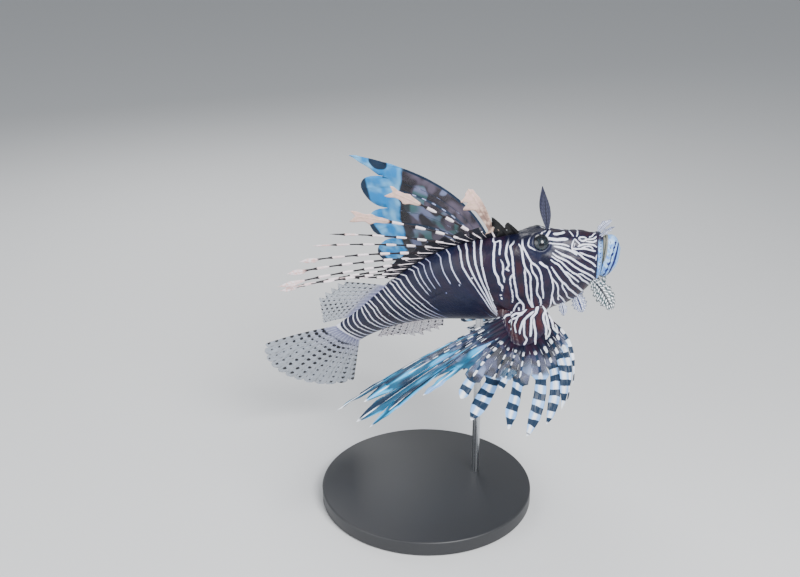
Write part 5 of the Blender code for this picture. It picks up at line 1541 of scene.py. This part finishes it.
@dataclass
class Flaps:
    """Brow tentacles and the frilled flaps of nose, jaw, cheek and throat, a pair of each."""

    rows: int = 120
    columns: int = 31
    thick: float = 0.0009
    sheet: float = 0.00025

    def leaf(self, name: str, path: Array, edge: Array, width: float, lobes: int, finish: bpy.types.Material) -> None:
        """One flap: a blade on a curved stem whose edge is cut into lobes and waves up and down.

        Half width along it is a sine swell times one plus a wave for each lobe and a finer one
        for its teeth, and the sheet lifts from the stem's plane by a wave that grows outwards.
        """
        steps = np.linspace(0, 1, self.rows)
        across = np.linspace(-1, 1, self.columns)[:, None]
        way = unit(np.gradient(path, axis=0))
        side = unit(edge - way * (way @ edge)[:, None])
        face = np.cross(way, side)
        frilly = float(lobes > 0)
        swell = np.sin(math.pi * np.clip(steps * 0.90 + 0.06, 0, 1)) ** (0.7 if lobes else 1.3)
        wave = 0.13 * np.cos(steps * lobes * 2 * math.pi + across * 1.1) + 0.07 * np.cos(steps * 17 * 2 * math.pi)
        half = width * swell * (1 + frilly * wave)
        frill = np.sin(steps * lobes * 2 * math.pi + 1.3 + across) * across**2 * width
        grid = path + side * (half * across)[..., None] + face * (frill * frilly * 0.20)[..., None]
        cup = across**2 * width * (0.10 + 0.22 * frilly) * swell
        grid = grid + face * cup[..., None]
        girth = self.sheet + self.thick * (1 - 0.5 * steps) * np.exp(-((across / 0.12) ** 2))
        index = np.arange(grid.shape[0] * grid.shape[1]).reshape(grid.shape[:2])
        points, faces = thicken(grid.reshape(-1, 3), girth.reshape(-1), grid_faces(index))
        values = {
            "across": np.tile(np.broadcast_to(across, index.shape).ravel(), 2),
            "along": np.tile(np.broadcast_to(steps, index.shape).ravel(), 2),
        }
        obj = build_mesh(name + "_frill", points, faces, finish, values)
        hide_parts(name)

    def build(self) -> None:
        """Builds every flap on both sides."""
        frill = FlapFinish("frilled_flap_skin").material()
        # On these lumpy flaps the shade colour is painted shade between the lumps
        lumpy = FlapFinish("lumpy_flap_skin", inner="#98a4c8", shade="#465080", stem="#262d55", clear=0.0).material()
        slate = FlapFinish("tentacle_skin", inner="#323349", shade="#1d2032", comb="#3c3e58", stem="#161827", clear=0.1).material()
        finishes = {"brow_tentacle": slate, "jaw_flap": frill}
        for word, (root, bend, tip, width, lobes) in FLAPS.items():
            for side, hand in ((1, "left"), (-1, "right")):
                place, normal = on_flank(*root, side)
                start = place - normal * 0.0006
                back, left, up = POSE.axes(root[0])
                axes = np.stack([back, left * side, up]) * STANDARD_LENGTH
                level = back - normal * (back @ normal)
                middle, end = place + np.array(bend) @ axes, place + np.array(tip) @ axes
                path = bezier(start, middle, end, np.linspace(0, 1, self.rows))
                self.leaf(f"{word}_{hand}", path, level, width * STANDARD_LENGTH, lobes, finishes.get(word, lumpy))


@dataclass(frozen=True)
class EyeFinish:
    """Wet eye: dark pupil, slate iris with faint pale rays, under a clear cornea."""

    pupil: str = "#0a0d14"
    iris: str = "#172027"
    streak: str = "#3c4951"
    ring: str = "#46535b"
    dark: str = "#0b1017"

    def material(self) -> bpy.types.Material:
        """The eye finish, which reads the angle from the eye's axis and the angle round it."""
        n = Nodes("wet_eye")
        polar, turn = n.value("polar"), n.value("turn")
        swirl = n.sum("MULTIPLY", n.noise(1.4), 9.0)
        streaks = n.sum("SINE", n.sum("ADD", n.sum("MULTIPLY", turn, 11.0), swirl))
        iris = n.mix(n.sum("MULTIPLY", n.step(streaks, 0.2, 0.9), 0.65), self.iris, self.streak)
        iris = n.mix(n.sum("MULTIPLY", n.noise(1.0), 0.8), iris, self.dark)
        colour = n.mix(n.step(polar, 17.0, 19.0), self.pupil, iris)
        rim = n.sum("MULTIPLY", n.step(polar, 17.5, 18.5), n.step(polar, 19.5, 21.0, 1.0, 0.0))
        colour = n.mix(n.sum("MULTIPLY", rim, 0.7), colour, self.ring)
        colour = n.mix(n.step(polar, 40.0, 50.0), colour, self.dark)
        return n.finish(colour, 0.22, IOR=1.4, Coat_Weight=1.0, Coat_Roughness=0.02, Coat_IOR=1.38)


@dataclass
class Eyes:
    """The two eyes, each a ball with a slight bulge of cornea."""

    rings: int = 48
    sides: int = 72

    def build(self) -> None:
        """Builds both eyes where their solids are."""
        finish = EyeFinish().material()
        for side, word in ((1, "left"), (-1, "right")):
            s, y, z = EYE_PLACE
            centre = POSE.place(s, y * side, z)
            back, left, up = POSE.axes(s)
            axis = unit(left * side - 0.10 * back + 0.12 * up)
            first = unit(np.cross(axis, up))
            second = np.cross(axis, first)
            polar = np.linspace(0, math.pi, self.rings)[1:-1, None]
            turn = np.linspace(0, 2 * math.pi, self.sides, endpoint=False)[None]
            radius = EYE_RADIUS * (1 + 0.045 * np.exp(-((polar / 0.55) ** 2)))
            ring = np.cos(turn)[..., None] * first + np.sin(turn)[..., None] * second
            points = centre + radius[..., None] * (np.cos(polar)[..., None] * axis + np.sin(polar)[..., None] * ring)
            index = np.arange(points.shape[0] * points.shape[1]).reshape(points.shape[:2])
            ends = np.stack([centre + axis * EYE_RADIUS * 1.045, centre - axis * EYE_RADIUS])
            count = index.size
            faces = np.concatenate([grid_faces(index, True), fan_faces(count, index[0]), fan_faces(count + 1, index[-1])[:, ::-1]])
            angle = np.degrees(np.broadcast_to(polar, index.shape)).ravel()
            values = {
                "polar": np.concatenate([angle, [0, 180]]),
                "turn": np.concatenate([np.broadcast_to(turn, index.shape).ravel(), [0, 0]]),
            }
            obj = build_mesh(f"eye_{word}_ball", np.concatenate([points.reshape(-1, 3), ends]), faces, finish, values)
            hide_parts("eye_" + word)


@dataclass(frozen=True)
class FootFinish:
    """Powder-coated steel: even charcoal with a fine orange-peel grain."""

    charcoal: str = "#2b2c2f"
    grain_mm: float = 0.8

    def material(self) -> bpy.types.Material:
        """The foot's finish."""
        n = Nodes("powder_coated_steel")
        grain = n.noise(self.grain_mm, detail=2.0)
        colour = n.mix(n.sum("MULTIPLY", grain, 0.3), self.charcoal, "#3a3b3f")
        return n.finish(colour, 0.46, n.bump(grain, 0.03), IOR=1.5)


@dataclass(frozen=True)
class RodFinish:
    """Drawn stainless rod, bright with fine lines along it."""

    steel: str = "#b9bcc0"

    def material(self) -> bpy.types.Material:
        """The rod's finish."""
        n = Nodes("drawn_stainless_steel")
        place = add_node(n.tree, "ShaderNodeMapping", {"in": {"Scale": (1.0, 1.0, 0.02)}})
        n.tree.links.new(n.object_place(), place.inputs["Vector"])
        lines = add_node(n.tree, "ShaderNodeTexNoise", {"in": {"Scale": 2500.0, "Detail": 2.0}})
        n.tree.links.new(place.outputs["Vector"], lines.inputs["Vector"])
        rough = n.step(lines.outputs["Fac"], 0.3, 0.7, 0.20, 0.34)
        return n.finish(self.steel, rough, Metallic=1.0)


@dataclass
class Stand:
    """The round foot and the upright rod."""

    radius: float = 0.085
    height: float = 0.012
    soft: float = 0.0016
    rod_radius: float = 0.003
    rod_depth: float = 0.010
    rod_place: float = 0.47

    def turned(self, name: str, outline: Array, x: float, y: float, sides: int, finish: bpy.types.Material) -> bpy.types.Object:
        """A piece turned about an upright line: rows of radius and height carried round it."""
        turn = np.linspace(0, 2 * math.pi, sides, endpoint=False)[None]
        radius, height = outline[:, :1], outline[:, 1:]
        points = np.stack([x + radius * np.cos(turn), y + radius * np.sin(turn), height + 0 * turn], -1)
        index = np.arange(points.shape[0] * sides).reshape(points.shape[:2])
        count = index.size
        ends = np.array([[x, y, outline[0, 1]], [x, y, outline[-1, 1]]])
        faces = np.concatenate([grid_faces(index, True), fan_faces(count, index[0]), fan_faces(count + 1, index[-1])[:, ::-1]])
        return build_mesh(name, np.concatenate([points.reshape(-1, 3), ends]), faces, finish)

    def rounded(self, radius: float, low: float, high: float, soft: float) -> Array:
        """Outline of a disc with quarter-round edges, from the middle of its underside up."""
        arc = np.linspace(0, math.pi / 2, 9)
        under = np.stack([radius - soft + soft * np.sin(arc), low + soft - soft * np.cos(arc)], -1)
        over = np.stack([radius - soft + soft * np.cos(arc), high - soft + soft * np.sin(arc)], -1)
        inner = radius - soft
        return np.concatenate([[[inner * 0.5, low]], under, over, [[inner * 0.6, high], [inner * 0.2, high]]])

    def build(self) -> None:
        """Builds the foot and the rod, whose end sits in the belly."""
        disc = self.turned("stand_base_turned", self.rounded(self.radius, 0.0, self.height, self.soft), 0.0, 0.0, 192, FootFinish().material())
        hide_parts("stand_base")
        x, y, z = POSE.place(self.rod_place, 0.0, ridge(self.rod_place, -1))
        outline = self.rounded(self.rod_radius, self.height - 0.002, z + self.rod_depth, 0.0004)
        rod = self.turned("stand_rod_drawn", outline, x, y, 48, RodFinish().material())
        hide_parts("stand_rod")


@dataclass
class Studio:
    """Pale floor, soft lights, and a camera that sees the fish as the photograph does."""

    camera_place: tuple = (-0.0215, -0.7778, 0.5137)
    camera_pitch: float = 23.0
    lens: float = 50.0
    floor_half: float = 3.0

    def light(self, name: str, place: tuple, size: float, power: float, aim: tuple = (0.0, 0.0, 0.16)) -> None:
        """A soft square light aimed at the fish."""
        data = bpy.data.lights.new(name, "AREA")
        data.size, data.energy = size, power
        obj = bpy.data.objects.new(name, data)
        obj.location = place
        away = np.array(place) - np.array(aim)
        yaw = math.atan2(away[1], away[0])
        pitch = math.atan2(math.hypot(away[0], away[1]), away[2])
        obj.rotation_euler = (0.0, pitch, yaw)
        bpy.context.scene.collection.objects.link(obj)

    def build(self) -> None:
        """Sets the floor, the lights, the sky and the camera."""
        scene = bpy.context.scene
        n = Nodes("pale_floor_paint")
        material = n.finish("#d9dadb", 0.75)
        half = self.floor_half
        mesh = bpy.data.meshes.new("floor")
        corners = [(-half, -half, -0.0002), (half, -half, -0.0002), (half, half, -0.0002), (-half, half, -0.0002)]
        mesh.from_pydata(corners, [], [(0, 1, 2, 3)])
        mesh.materials.append(material)
        floor = bpy.data.objects.new("floor", mesh)
        scene.collection.objects.link(floor)
        world = bpy.data.worlds.new("studio")
        world.use_nodes = True
        world.node_tree.nodes["Background"].inputs["Color"].default_value = linear("#dfe4ea")
        world.node_tree.nodes["Background"].inputs["Strength"].default_value = 0.50
        scene.world = world
        self.light("key", (0.45, -0.75, 0.95), 0.55, 24.0)
        self.light("fill", (-0.9, -0.5, 0.5), 0.9, 8.0)
        self.light("rim", (-0.3, 0.8, 0.8), 0.6, 6.0)
        data = bpy.data.cameras.new("camera")
        data.lens, data.sensor_width = self.lens, 36.0
        data.clip_start = 0.01
        camera = bpy.data.objects.new("camera", data)
        camera.location = self.camera_place
        camera.rotation_euler = (math.radians(90 - self.camera_pitch), 0.0, 0.0)
        scene.collection.objects.link(camera)
        scene.camera = camera


def main() -> None:
    """Builds every piece in order."""
    logging.basicConfig(level=logging.INFO, format="%(name)s %(message)s")
    Studio().build()
    Skin().build()
    Fins().build()
    Flaps().build()
    Eyes().build()
    Stand().build()


if __name__ == "__main__":
    main()
